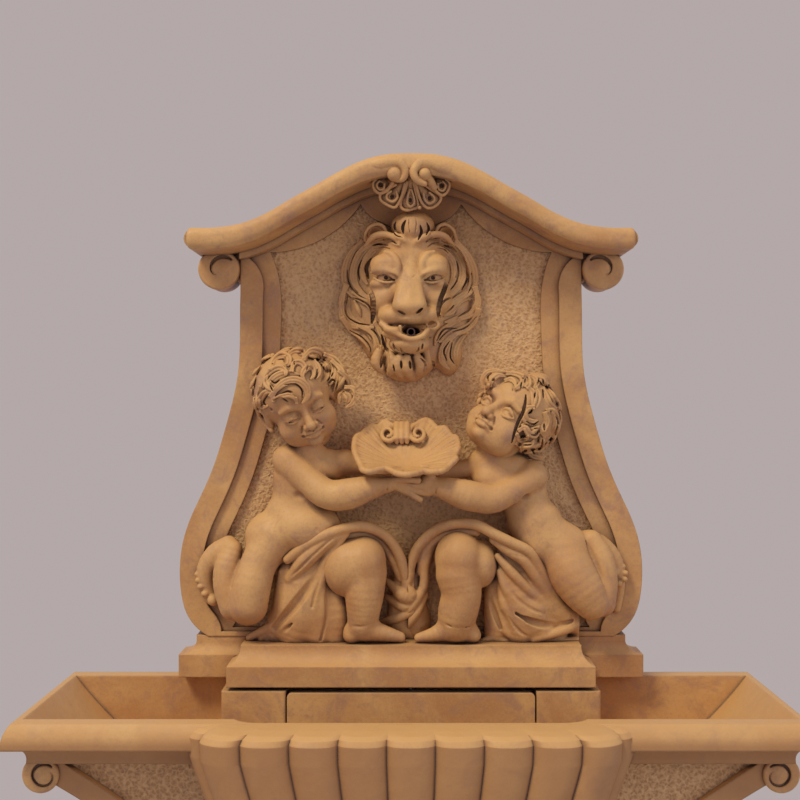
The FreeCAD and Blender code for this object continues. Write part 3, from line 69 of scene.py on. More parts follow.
MM = 0.001
WALL_Y = 210.0
SHELF_Z = 752.0
FIELD_Y = 168.0
BEDDED_Y = FIELD_Y + 3.0
FLOOR_DROP = 0.4
EYE_Y = -1990.0
EYE_Z = 1163.5
FOCAL = 1237.0
PICTURE_SIZE = 800.0
PICTURE_MIDDLE = (409.0, 400.0)
PICTURE_SHIFT = 11.0
FILM_WIDTH = 36.0
HAMMERED_PLANES = (0.168, -0.082)
PLANE_MARGIN = 0.0006
FIXED = "fountain"
MOST_TRIANGLES = 190000
GOLDEN_ANGLE = 2.399963

Triple = Sequence[float]
Array = np.ndarray


def seen(px: float, py: float, proud: float) -> Array:
    """The place that lies behind a picture point, at a depth in front of the panel's field.

    The sight line through the point is followed to the plane Y = FIELD_Y - proud.

    Args:
        px: picture column.
        py: picture row.
        proud: how far the place stands in front of the field.

    Returns:
        The place as x, y, z.
    """
    y = FIELD_Y - proud
    scale = (y - EYE_Y) / FOCAL
    return np.array([(px - PICTURE_MIDDLE[0]) * scale, y, EYE_Z - (py - PICTURE_MIDDLE[1]) * scale])


@dataclass(frozen=True)
class Drawing:
    """A part of the picture drawn larger: its left and top edge there, and how many times larger it is."""

    left: float
    top: float
    times: float

    def at(self, u: float, v: float, proud: float) -> Array:
        """The place behind a point of the drawing, at a depth in front of the field."""
        return seen(self.left + u / self.times, self.top + v / self.times, proud)

    def line(self, points: Sequence[Triple]) -> Array:
        """The places behind several points of the drawing, each with its own depth."""
        return np.array([self.at(*point) for point in points])


def turned(pitch: float = 0.0, yaw: float = 0.0, roll: float = 0.0) -> Array:
    """A turn about X (nodding down), then Z (to the right), then Y (top to the right), in degrees.

    Args:
        pitch: the nod, downwards.
        yaw: the turn of a face to the picture's right.
        roll: the lean of its top to the picture's right.

    Returns:
        The 3 by 3 matrix that turns a column.
    """
    a, b, c = (math.radians(v) for v in (pitch, yaw, roll))
    nod = np.array([[1, 0, 0], [0, math.cos(a), -math.sin(a)], [0, math.sin(a), math.cos(a)]])
    swing = np.array([[math.cos(b), -math.sin(b), 0], [math.sin(b), math.cos(b), 0], [0, 0, 1]])
    lean = np.array([[math.cos(c), 0, math.sin(c)], [0, 1, 0], [-math.sin(c), 0, math.cos(c)]])
    return lean @ swing @ nod


def flowing(points: Array, count: int) -> Array:
    """Points along a smooth curve through the given ones, by the Catmull-Rom formula on even parameters.

    Args:
        points: rows of any width, at least two.
        count: how many rows to give back.

    Returns:
        The rows along the curve.
    """
    rows = np.asarray(points, float)
    ends = np.vstack([2 * rows[0] - rows[1], rows, 2 * rows[-1] - rows[-2]])
    at = np.linspace(0, len(rows) - 1, count)
    low = np.minimum(at.astype(int), len(rows) - 2)
    t = (at - low)[:, None]
    a, b, c, d = (ends[low + k] for k in range(4))
    square, cube = 2 * a - 5 * b + 4 * c - d, 3 * b - a - 3 * c + d
    return 0.5 * (2 * b + (c - a) * t + square * t ** 2 + cube * t ** 3)


class Clay:
    """A block of clay on an even grid.

    Each cell holds its distance to the surface, less than nothing inside and FAR where nothing is near. A
    groove is cut CLEAR in front of its path. HALF_OUT and OFF_CLAY are depths in front of the field: half way
    out, and that of a line that meets no clay.
    """

    FAR = 40.0
    CLEAR = 30
    HALF_OUT = 50.0
    OFF_CLAY = 62.0

    def __init__(self, low: Triple, high: Triple, cell: float) -> None:
        """Sets up an empty block.

        Args:
            low: its lowest corner.
            high: its highest corner.
            cell: the grid's pitch.
        """
        self.cell = cell * 1.0
        self.skin = 3 * self.cell
        self.low = np.array(low, float)
        counts = np.ceil((np.array(high, float) - self.low) / self.cell).astype(int) + 1
        self.axes = [self.low[i] + self.cell * np.arange(counts[i], dtype=np.float32) for i in range(3)]
        self.depth = np.full(counts, self.FAR, np.float32)

    def _window(self, low: Array, high: Array) -> tuple[tuple[slice, ...], list[Array]]:
        """The cells inside a box, as slices, and their coordinates ready to be broadcast.

        Args:
            low: the box's lowest corner.
            high: its highest corner.

        Returns:
            The slices, and the coordinates along X, Y and Z.
        """
        top = np.array(self.depth.shape)
        first = np.clip(np.floor((low - self.low) / self.cell).astype(int), 0, top - 1)
        last = np.clip(np.ceil((high - self.low) / self.cell).astype(int) + 1, 1, top)
        cells = tuple(slice(int(a), int(b)) for a, b in zip(first, last))
        shapes = ((-1, 1, 1), (1, -1, 1), (1, 1, -1))
        return cells, [self.axes[i][cells[i]].astype(np.float32).reshape(shapes[i]) for i in range(3)]

    def _lay(self, cells: tuple[slice, ...], form: Array, blend: float, cut: bool) -> None:
        """Joins a form to the clay or cuts it away, rounding the seam over about the blend's width.

        The smaller of two distances a and b is taken, less (blend - |a - b|)^2 / (4 blend) where they are
        close.

        Args:
            cells: the cells that the form is in.
            form: its distances there.
            blend: the seam's width.
            cut: whether it is cut away.
        """
        sign = -1.0 if cut else 1.0
        old = self.depth[cells] * sign
        near = np.maximum(blend - np.abs(old - form), 0.0)
        joined = np.minimum(old, form) - near * near / (4.0 * max(blend, 1e-3))
        self.depth[cells] = joined * sign

    def egg(self, centre: Triple, radii: Triple, blend: float, cut: bool = False,
            turn: Array | None = None) -> None:
        """An ellipsoid. With k = |p / r| and m = |p / r^2|, its distance is nearly k (k - 1) / m.

        Args:
            centre: its middle.
            radii: its half sizes along its own axes.
            blend: the width of the rounded seam.
            cut: whether it is cut away.
            turn: a matrix that turns it.
        """
        centre = np.asarray(centre, float)
        half = np.asarray(radii, float)
        reach = half if turn is None else np.sqrt(((turn * half) ** 2).sum(1))
        margin = blend + self.skin
        cells, (x, y, z) = self._window(centre - reach - margin, centre + reach + margin)
        x, y, z = x - centre[0], y - centre[1], z - centre[2]
        if turn is not None:
            x, y, z = (turn[0, i] * x + turn[1, i] * y + turn[2, i] * z for i in range(3))
        k = np.sqrt((x / half[0]) ** 2 + (y / half[1]) ** 2 + (z / half[2]) ** 2)
        m = np.sqrt((x / half[0] ** 2) ** 2 + (y / half[1] ** 2) ** 2 + (z / half[2] ** 2) ** 2)
        self._lay(cells, k * (k - 1.0) / np.maximum(m, 1e-6), blend, cut)

    def limb(self, points: Sequence[Triple], radii: Sequence[float] | float, blend: float,
             cut: bool = False) -> None:
        """A chain of tapered rods with round joints.

        A rod's distance is that to the nearest point of its axis, less the radius there.

        Args:
            points: the joints.
            radii: the radius at each joint, or one for all.
            blend: the width of the rounded seam.
            cut: whether it is cut away.
        """
        spread = np.broadcast_to(np.asarray(radii, float), len(points))
        self.strands([np.asarray(points, float)], [spread], blend, cut)

    def strands(self, paths: Sequence[Array], radii: Sequence[Array], blend: float,
                cut: bool = False) -> None:
        """Several chains of rods laid at once, without a rounded seam among themselves.

        Args:
            paths: the joints of each chain.
            radii: the radii of each chain at its joints.
            blend: the width of the rounded seam with the clay.
            cut: whether they are cut away.
        """
        margin = max(float(np.max(r)) for r in radii) + blend + self.skin
        low = np.min([p.min(0) for p in paths], 0) - margin
        high = np.max([p.max(0) for p in paths], 0) + margin
        cells, (x, y, z) = self._window(low, high)
        form = np.full(self.depth[cells].shape, self.FAR, np.float32)
        if form.size == 0:
            return
        for path, radius in zip(paths, radii):
            for a, b, ra, rb in zip(path[:-1], path[1:], radius[:-1], radius[1:]):
                run = b - a
                square = max(float(run @ run), 1e-9)
                dx, dy, dz = x - a[0], y - a[1], z - a[2]
                t = np.clip((dx * run[0] + dy * run[1] + dz * run[2]) / square, 0.0, 1.0)
                gap = np.sqrt((dx - t * run[0]) ** 2 + (dy - t * run[1]) ** 2 + (dz - t * run[2]) ** 2)
                np.minimum(form, gap - (ra + (rb - ra) * t), out=form)
        self._lay(cells, form, blend, cut)

    def lock(self, points: Sequence[Triple], width: float, parts: int, blend: float, outward: Triple,
             samples: int, root: float, tip: float, height: float) -> None:
        """A lock of hair: strands side by side along one smooth path, widest and thickest in its middle.

        Args:
            points: the path's main points.
            width: its full width at the widest.
            parts: the number of strands.
            blend: the width of the rounded seam with the clay.
            outward: the side that it shows.
            samples: joints along each strand.
            root: its width at the start, as a share.
            tip: its width at the end, as a share.
            height: the strands' thickness against their pitch.
        """
        path = flowing(np.asarray(points, float), samples)
        t = np.linspace(0, 1, samples)
        run = np.gradient(path, axis=0)
        side = np.cross(run, np.asarray(outward, float))
        side /= np.maximum(np.linalg.norm(side, axis=1, keepdims=True), 1e-6)
        swell = np.sin(np.pi * np.clip(t * 0.86 + 0.1, 0, 1)) ** 0.8
        ends = root * (1 - t) ** 3 + tip * t ** 3
        profile = np.maximum(swell * (1 - (1 - t) ** 3 * (1 - root) * 0.6), ends)
        pitch = width / parts
        paths, radii = [], []
        for k in range(parts):
            offset = (k - (parts - 1) / 2) * pitch
            middle = 1.0 - 0.22 * abs(2 * k - parts + 1) / max(parts, 2)
            paths.append(path + side * (offset * profile)[:, None])
            radii.append(pitch * 0.62 * height * profile * middle + 0.35)
        self.strands(paths, radii, blend)

    def roll(self, front: Triple, radius: float, back: float, ease: float) -> None:
        """A round bar along Y with an eased front edge.

        Args:
            front: the middle of its front face.
            radius: its radius.
            back: the Y of its back face.
            ease: the radius of its edges.
        """
        x, y, z = (self.axes[0][:, None, None] - front[0], self.axes[1][None, :, None],
                   self.axes[2][None, None, :] - front[2])
        aside = np.hypot(x, z) - (radius - ease)
        along = np.abs(y - 0.5 * (front[1] + back)) - (0.5 * (back - front[1]) - ease)
        outside = np.hypot(np.maximum(aside, 0), np.maximum(along, 0))
        form = outside + np.minimum(np.maximum(aside, along), 0) - ease
        self.depth = np.minimum(self.depth, form).astype(np.float32)

    def front(self) -> Array:
        """The clay's front: the least Y inside it for each column of X and Z.

        A column without clay gives the block's far side.
        """
        inside = self.depth < 0
        first = inside.argmax(axis=1)
        here = np.take_along_axis(self.depth, first[:, None, :], 1)[:, 0, :]
        before = np.take_along_axis(self.depth, np.maximum(first - 1, 0)[:, None, :], 1)[:, 0, :]
        share = np.clip(-here / np.maximum(before - here, 1e-6), 0.0, 1.0)
        return np.where(inside.any(axis=1), self.axes[1][first] - self.cell * share, self.axes[1][-1])

    def on_front(self, drawing: Drawing, points: Sequence[Sequence[float]], count: int,
                 lift: float) -> Array:
        """Places on the clay's front along a smooth line of a drawing.

        The line is first taken half way out, and then twice at the depth that the front has behind it. Where
        it runs off the clay, it keeps the depth of the nearest place that is on it. At the end its depths are
        evened out, by shares that add up to 1.

        Args:
            drawing: the drawing.
            points: rows of u and v.
            count: how many places to give back.
            lift: how far in front of the clay they stand.

        Returns:
            The places, one row each.
        """
        line = flowing(np.asarray(points, float), count)
        front = self.front()
        proud = np.full(count, self.HALF_OUT)
        for _ in range(3):
            spots = np.array([drawing.at(u, v, p) for (u, v), p in zip(line, proud)])
            cell = np.rint((spots - self.low) / self.cell).astype(int)
            across = np.clip(cell[:, 0], 0, front.shape[0] - 1)
            up = np.clip(cell[:, 2], 0, front.shape[1] - 1)
            y = front[across, up]
            met = np.flatnonzero(y < self.axes[1][-1])
            if len(met):
                y = np.interp(np.arange(count), met, y[met])
            else:
                y = np.full(count, FIELD_Y - self.OFF_CLAY)
            proud = FIELD_Y - y
        padded = np.pad(proud, 2, mode="edge")
        proud = np.convolve(padded, (0.1, 0.25, 0.3, 0.25, 0.1), "valid") + lift
        return np.array([drawing.at(u, v, p) for (u, v), p in zip(line, proud)])

    def score(self, path: Array, half: Array, depth: Array, blend: float = 0.8) -> None:
        """Cuts a groove along a path on the front: what is near it in X and Z, down to a depth behind it.

        Args:
            path: places on the front.
            half: the groove's half width at each.
            depth: its depth at each.
            blend: the width of the rounded edges.
        """
        margin = float(np.max(half)) + blend + self.skin
        low = path.min(0) - margin - (0, self.CLEAR, 0)
        high = path.max(0) + margin + (0, float(np.max(depth)), 0)
        cells, (x, y, z) = self._window(low, high)
        form = np.full(self.depth[cells].shape, self.FAR, np.float32)
        if form.size == 0:
            return
        for a, b, ra, rb, da, db in zip(path[:-1], path[1:], half[:-1], half[1:], depth[:-1], depth[1:]):
            run = b[[0, 2]] - a[[0, 2]]
            square = max(float(run @ run), 1e-9)
            t = np.clip(((x - a[0]) * run[0] + (z - a[2]) * run[1]) / square, 0.0, 1.0)
            aside = np.hypot(x - a[0] - t * run[0], z - a[2] - t * run[1]) - (ra + (rb - ra) * t)
            floor = a[1] + da + (b[1] + db - a[1] - da) * t
            np.minimum(form, np.maximum(aside, y - floor), out=form)
        self._lay(cells, form, blend, True)

    def trim(self, axis: int, limit: float, keep_above: bool = False) -> None:
        """Cuts the clay off flat at a plane across one axis.

        Args:
            axis: 0, 1 or 2 for X, Y or Z.
            limit: the plane's place along it.
            keep_above: whether the clay above the plane stays, instead of that below.
        """
        shape = [1, 1, 1]
        shape[axis] = -1
        over = self.axes[axis].reshape(shape) - limit
        self.depth = np.maximum(self.depth, -over if keep_above else over).astype(np.float32)

    def cast(self, name: str, back: float = WALL_Y) -> bpy.types.Object:
        """A mesh of the clay's surface, where the distance is nothing.

        Args:
            name: the object's name.
            back: the plane across Y that nothing goes behind.

        Returns:
            The new object, with its place in its mesh.
        """
        depth = self.depth
        for axis in range(3):
            edge = [slice(None)] * 3
            for end in (0, -1):
                edge[axis] = end
                depth[tuple(edge)] = self.FAR
        grid = openvdb.FloatGrid(self.skin)
        grid.copyFromArray(np.clip(depth, -self.skin, self.skin))
        points, quads = grid.convertToQuads(isovalue=0.0)
        points = points.astype(float) * self.cell + self.low
        points[:, 1] = np.minimum(points[:, 1], back)
        return mesh_object(name, points, quads.astype(np.int64))


def mesh_object(name: str, points: Array, faces: Array) -> bpy.types.Object:
    """An object from arrays of points in millimetres and of faces with three or four corners each.

    Args:
        name: the object's and its mesh's name.
        points: one row for each point.
        faces: one row of point numbers for each face.

    Returns:
        The object, smooth shaded.
    """
    mesh = bpy.data.meshes.new(name)
    count, corners = faces.shape
    mesh.vertices.add(len(points))
    mesh.vertices.foreach_set("co", (np.asarray(points) * MM).astype(np.float32).ravel())
    mesh.loops.add(count * corners)
    mesh.loops.foreach_set("vertex_index", faces.astype(np.int32).ravel())
    mesh.polygons.add(count)
    mesh.polygons.foreach_set("loop_start", np.arange(0, count * corners, corners, dtype=np.int32))
    mesh.polygons.foreach_set("use_smooth", np.ones(count, bool))
    mesh.update(calc_edges=True)
    mesh.validate()
    made = bpy.data.objects.new(name, mesh)
    bpy.context.scene.collection.objects.link(made)
    return made


def ring_faces(rings: int, columns: int) -> Array:
    """The quads between rings of points, numbered ring by ring.

    Args:
        rings: how many rings.
        columns: how many points each has.

    Returns:
        One row of four numbers for each quad.
    """
    a, b = np.meshgrid(np.arange(rings - 1) * columns, np.arange(columns), indexing="ij")
    d = (b + 1) % columns
    return np.stack([a + b, a + columns + b, a + columns + d, a + d], -1).reshape(-1, 4)


def settle(made: bpy.types.Object, finish: bpy.types.Material, instead_of: Sequence[str] = ()) -> None:
    """Thins a heavy piece, gives it its finish and body, and hides the nodes that it stands for.

    Args:
        made: the piece.
        finish: its material.
        instead_of: the nodes that it replaces.
    """
    count = sum(len(polygon.vertices) - 2 for polygon in made.data.polygons)
    if count > MOST_TRIANGLES:
        made.modifiers.new("thin", "DECIMATE").ratio = MOST_TRIANGLES / count
        now = made.evaluated_get(bpy.context.evaluated_depsgraph_get())
        made.data = bpy.data.meshes.new_from_object(now)
        made.modifiers.clear()
    made.data.materials.clear()
    made.data.materials.append(finish)
    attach(made, FIXED)
    if instead_of:
        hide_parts(*instead_of)
    log.info("%s: %d faces", made.name, len(made.data.polygons))


Colour = tuple[float, float, float]
Link = bpy.types.NodeSocket


class Graph:
    """A material under construction: its nodes are added one by one and joined through their sockets."""

    def __init__(self, name: str) -> None:
        """Starts a material with its surface shader.

        Args:
            name: the material's name.
        """
        self.material = bpy.data.materials.new(name)
        self.material.use_nodes = True
        self.tree = self.material.node_tree
        self.tree.nodes.clear()
        self.surface = self.tree.nodes.new("ShaderNodeBsdfPrincipled")
        output = self.tree.nodes.new("ShaderNodeOutputMaterial")
        self.tree.links.new(self.surface.outputs[0], output.inputs["Surface"])
        self.place = self.tree.nodes.new("ShaderNodeTexCoord").outputs["Object"]

    def give(self, socket: Link, value: object) -> None:
        """Links a socket to another one, or sets it to a plain value.

        Args:
            socket: the socket.
            value: what it gets.
        """
        if isinstance(value, bpy.types.NodeSocket):
            self.tree.links.new(value, socket)
        elif isinstance(value, tuple) and len(value) == 3 and socket.type == "RGBA":
            socket.default_value = (*value, 1.0)
        else:
            socket.default_value = value

    def add(self, kind: str, settings: dict[str, object] | None = None, **inputs: object) -> bpy.types.Node:
        """Adds a node.

        Args:
            kind: its type's name without the leading words.
            settings: its own properties.
            inputs: its sockets by name, with _ for a space.

        Returns:
            The node.
        """
        node = self.tree.nodes.new("ShaderNode" + kind)
        for name, value in (settings or {}).items():
            setattr(node, name, value)
        self.fill(node, **inputs)
        return node

    def fill(self, node: bpy.types.Node, **inputs: object) -> None:
        """Gives a node's sockets by name, with _ for a space."""
        for name, value in inputs.items():
            self.give(node.inputs[name.replace("_", " ")], value)

    def noise(self, scale: float, detail: float = 3.0, roughness: float = 0.5, warp: float = 0.0) -> Link:
        """Cloudy noise between about 0.3 and 0.7, at a scale per metre."""
        return self.add("TexNoise", Vector=self.place, Scale=scale, Detail=detail, Roughness=roughness,
                        Distortion=warp).outputs["Fac"]

    def spread(self, value: Link, low: float, high: float, to_low: float = 0.0, to_high: float = 1.0) -> Link:
        """A value carried evenly from one range to another and held at its ends.

        Args:
            value: the value.
            low: the start of its range.
            high: the end of it.
            to_low: what the start becomes.
            to_high: what the end becomes.

        Returns:
            The carried value.
        """
        node = self.add("MapRange", Value=value)
        for name, number in (("From Min", low), ("From Max", high), ("To Min", to_low), ("To Max", to_high)):
            node.inputs[name].default_value = number
        return node.outputs["Result"]

    def mix(self, share: Link | float, a: Link | Colour, b: Link | Colour, how: str = "MIX") -> Link:
        """Two colours mixed, or blended in another named way.

        Args:
            share: how much of the second there is.
            a: the first colour.
            b: the second.
            how: the blend's name.

        Returns:
            The mixed colour.
        """
        node = self.add("Mix", {"data_type": "RGBA", "blend_type": how})
        self.give(node.inputs[0], share)
        self.give(node.inputs[6], a)
        self.give(node.inputs[7], b)
        return node.outputs[2]

    def sum(self, a: Link | float, b: Link | float, how: str = "ADD") -> Link:
        """Two numbers put together by a named operation.

        Args:
            a: the first number.
            b: the second.
            how: the operation's name.

        Returns:
            The result.
        """
        node = self.add("Math", {"operation": how})
        self.give(node.inputs[0], a)
        self.give(node.inputs[1], b)
        return node.outputs[0]

    def part(self, vector: Link, axis: str) -> Link:
        """One of a vector's X, Y and Z."""
        return self.add("SeparateXYZ", Vector=vector).outputs[axis]

    def sky(self, reach: float) -> Link:
        """How much open space a point sees within a reach in metres, from 0 to 1."""
        return self.add("AmbientOcclusion", {"samples": 6}, Distance=reach).outputs["AO"]

    def bump(self, height: Link, depth: float, under: Link | None = None) -> Link:
        """A bumped normal, with the height's full range standing for a depth in metres.

        Args:
            height: the height.
            depth: what its full range stands for.
            under: the normal that it is laid on.

        Returns:
            The bumped normal.
        """
        node = self.add("Bump", Height=height, Distance=depth, Strength=1.0)
        if under is not None:
            self.give(node.inputs["Normal"], under)
        return node.outputs["Normal"]


@dataclass(frozen=True)
class CastStone:
    """Cast stone: an ochre tint rubbed off the high places, with patina and painted shade in the hollows."""

    name: str
    light: Colour = (0.66, 0.375, 0.138)
    middle: Colour = (0.52, 0.255, 0.092)
    brown: Colour = (0.40, 0.210, 0.120)
    # colour of the hollows, creases, corners and hammer cups: partly patina, partly painted shade
    hollow: Colour = (0.090, 0.052, 0.045)
    # painted shade for vertical faces in front
    shade: Colour = (0.40, 0.195, 0.075)
    # painted highlight on the hammered ridges
    ridge_highlight: Colour = (0.76, 0.47, 0.21)
    # reach and strength of the hollows' darkening: patina and painted shade where little open space is seen
    hollow_reach: float = 0.022
    hollow_share: float = 0.80
    # how much paler faces that look up get: painted top light
    painted_top_light: float = 0.55
    # how much darker vertical faces in front get: painted shade
    front_shade_share: float = 0.0
    edge_round: float = 0.0
    # reach of the darkening in concave corners: partly dirt, partly painted shade
    corner_dirt_and_shade_reach: float = 0.0
    grain: float = 0.00035
    lumps: float = 0.0011
    cups: float = 0.0017
    gloss: float = 0.28
    # lighter convex edges, partly rubbed tint and partly painted highlight, and darker creases of patina and
    # painted shade
    edge_wear_and_painted_light: float = 0.0
    hammered: bool = False

    def build(self) -> bpy.types.Material:
        """Makes the material.

        Broad clouds mix the middle and the light tint, smaller ones bring in brown, fine specks vary both,
        faces that look up get a painted top light, and vertical faces in front can get painted shade.
        The hollows' colour, partly patina and partly painted shade, comes in where a point sees little
        open space, once within the hollows' reach and once within a corner's width, there partly dirt and
        partly painted shade. Edges are lighter, partly rubbed tint and partly painted highlight, creases
        darker with patina and painted shade, and hammered grounds have cups with painted shade in their
        middles and a painted highlight on their ridges.

        Returns:
            The material.
        """
        g = Graph(self.name)
        broad = g.spread(g.noise(7.0, 4.0, 0.6, 0.6), 0.38, 0.62)
        tint = g.mix(broad, self.middle, self.light)
        patches = g.spread(g.noise(23.0, 6.0, 0.65, 0.8), 0.50, 0.68, 0.0, 0.75)
        tint = g.mix(patches, tint, self.brown)
        fine = g.noise(210.0, 4.0, 0.7)
        tint = g.mix(g.spread(fine, 0.50, 0.72, 0.0, 0.45), tint, self.brown)
        tint = g.mix(g.spread(fine, 0.48, 0.30, 0.0, 0.30), tint, self.light)
        shape = g.add("NewGeometry").outputs
        up = g.part(shape["Normal"], "Z")
        # painted top light: faces that look up are mixed towards the light tint
        tint = g.mix(g.spread(up, -0.1, 0.8, 0.0, self.painted_top_light), tint, self.light)
        # painted shade on vertical faces in front
        if self.front_shade_share > 0.0:
            front = g.spread(g.part(g.place, "Y"), -0.03, -0.08)
            steep = g.spread(up, 0.30, 0.05, 0.0, self.front_shade_share)
            tint = g.mix(g.sum(front, steep, "MULTIPLY"), tint, self.shade)
        # patina and painted shade in the hollows, where a point sees little open space
        sky = g.sky(self.hollow_reach)
        tint = g.mix(g.spread(sky, 0.74, 0.18, 0.0, self.hollow_share), tint, self.hollow)
        # dirt and painted shade in concave corners
        if self.corner_dirt_and_shade_reach > 0.0:
            tint = g.mix(g.spread(g.sky(self.corner_dirt_and_shade_reach), 0.72, 0.45, 0.0, 0.75), tint, self.hollow)
        # edges lighter by rubbed tint and painted highlight; creases darker by patina and painted shade
        if self.edge_wear_and_painted_light > 0.0:
            edge = shape["Pointiness"]
            tint = g.mix(g.spread(edge, 0.505, 0.56, 0.0, self.edge_wear_and_painted_light), tint, self.light)
            tint = g.mix(g.spread(edge, 0.49, 0.42, 0.0, 0.50), tint, self.hollow)
        normal = None
        if self.edge_round > 0.0:
            normal = g.add("Bevel", {"samples": 6}, Radius=self.edge_round).outputs["Normal"]
        if self.hammered:
            there, cups = self.hammer_marks(g)
            # painted shade in the hammer cups' middles and a painted highlight on their ridges
            tint = g.mix(g.sum(there, g.spread(cups, 0.35, 0.0, 0.0, 0.34), "MULTIPLY"), tint, self.hollow)
            tint = g.mix(g.sum(there, g.spread(cups, 0.30, 0.8, 0.25, 0.90), "MULTIPLY"), tint, self.ridge_highlight)
            normal = g.bump(g.sum(there, cups, "MULTIPLY"), self.cups, normal)
        rough = g.spread(g.noise(60.0, 3.0), 0.3, 0.7, 0.46, 0.66)
        normal = g.bump(g.noise(38.0, 3.0), self.lumps, normal)
        normal = g.bump(g.noise(420.0, 3.0, 0.6), self.grain, normal)
        g.fill(g.surface, Base_Color=tint, Roughness=rough, Specular_IOR_Level=self.gloss, Normal=normal)
        return g.material

    @staticmethod
    def hammer_marks(g: Graph) -> tuple[Link, Link]:
        """Where the sunk grounds lie, as 0 or 1, and the height of the uneven cups hammered into them.

        Args:
            g: the material under construction.

        Returns:
            Where the grounds lie, and the cups' height.
        """
        y = g.part(g.place, "Y")
        planes = []
        for plane in HAMMERED_PLANES:
            near = g.add("Math", {"operation": "COMPARE"})
            for socket, value in zip(near.inputs, (y, plane, PLANE_MARGIN)):
                g.give(socket, value)
            planes.append(near.outputs[0])
        there = g.sum(planes[0], planes[1], "MAXIMUM")
        shifted = g.mix(0.012, g.place, g.add("TexNoise", Vector=g.place, Scale=90.0).outputs["Color"], "ADD")
        cells = g.add("TexVoronoi", {"feature": "SMOOTH_F1"}, Vector=shifted, Scale=165.0, Smoothness=0.2)
        cups = g.sum(cells.outputs["Distance"], g.spread(g.noise(330.0, 2.0), 0.3, 0.7, -0.15, 0.15))
        return there, cups


@dataclass(frozen=True)
class Plain:
    """A small part's finish: one colour with a faint cloud in it, and a fine texture."""

    name: str
    colour: Colour
    rough: float
    metal: float = 0.0
    clear: float = 0.0
    texture: float = 600.0
    depth: float = 0.00005

    def build(self) -> bpy.types.Material:
        """Makes the material: a faint cloud darkens the colour, and fine noise sets roughness and bump.

        Returns:
            The material.
        """
        g = Graph(self.name)
        cloud = g.spread(g.noise(55.0, 4.0), 0.3, 0.7, 0.0, 0.35)
        tint = g.mix(cloud, self.colour, tuple(0.6 * c for c in self.colour))
        fine = g.noise(self.texture, 2.0)
        rough = g.spread(fine, 0.3, 0.7, self.rough * 0.85, min(1.0, self.rough * 1.15))
        g.fill(g.surface, Base_Color=tint, Metallic=self.metal, Transmission_Weight=self.clear,
               Roughness=rough, Normal=g.bump(fine, self.depth))
        return g.material


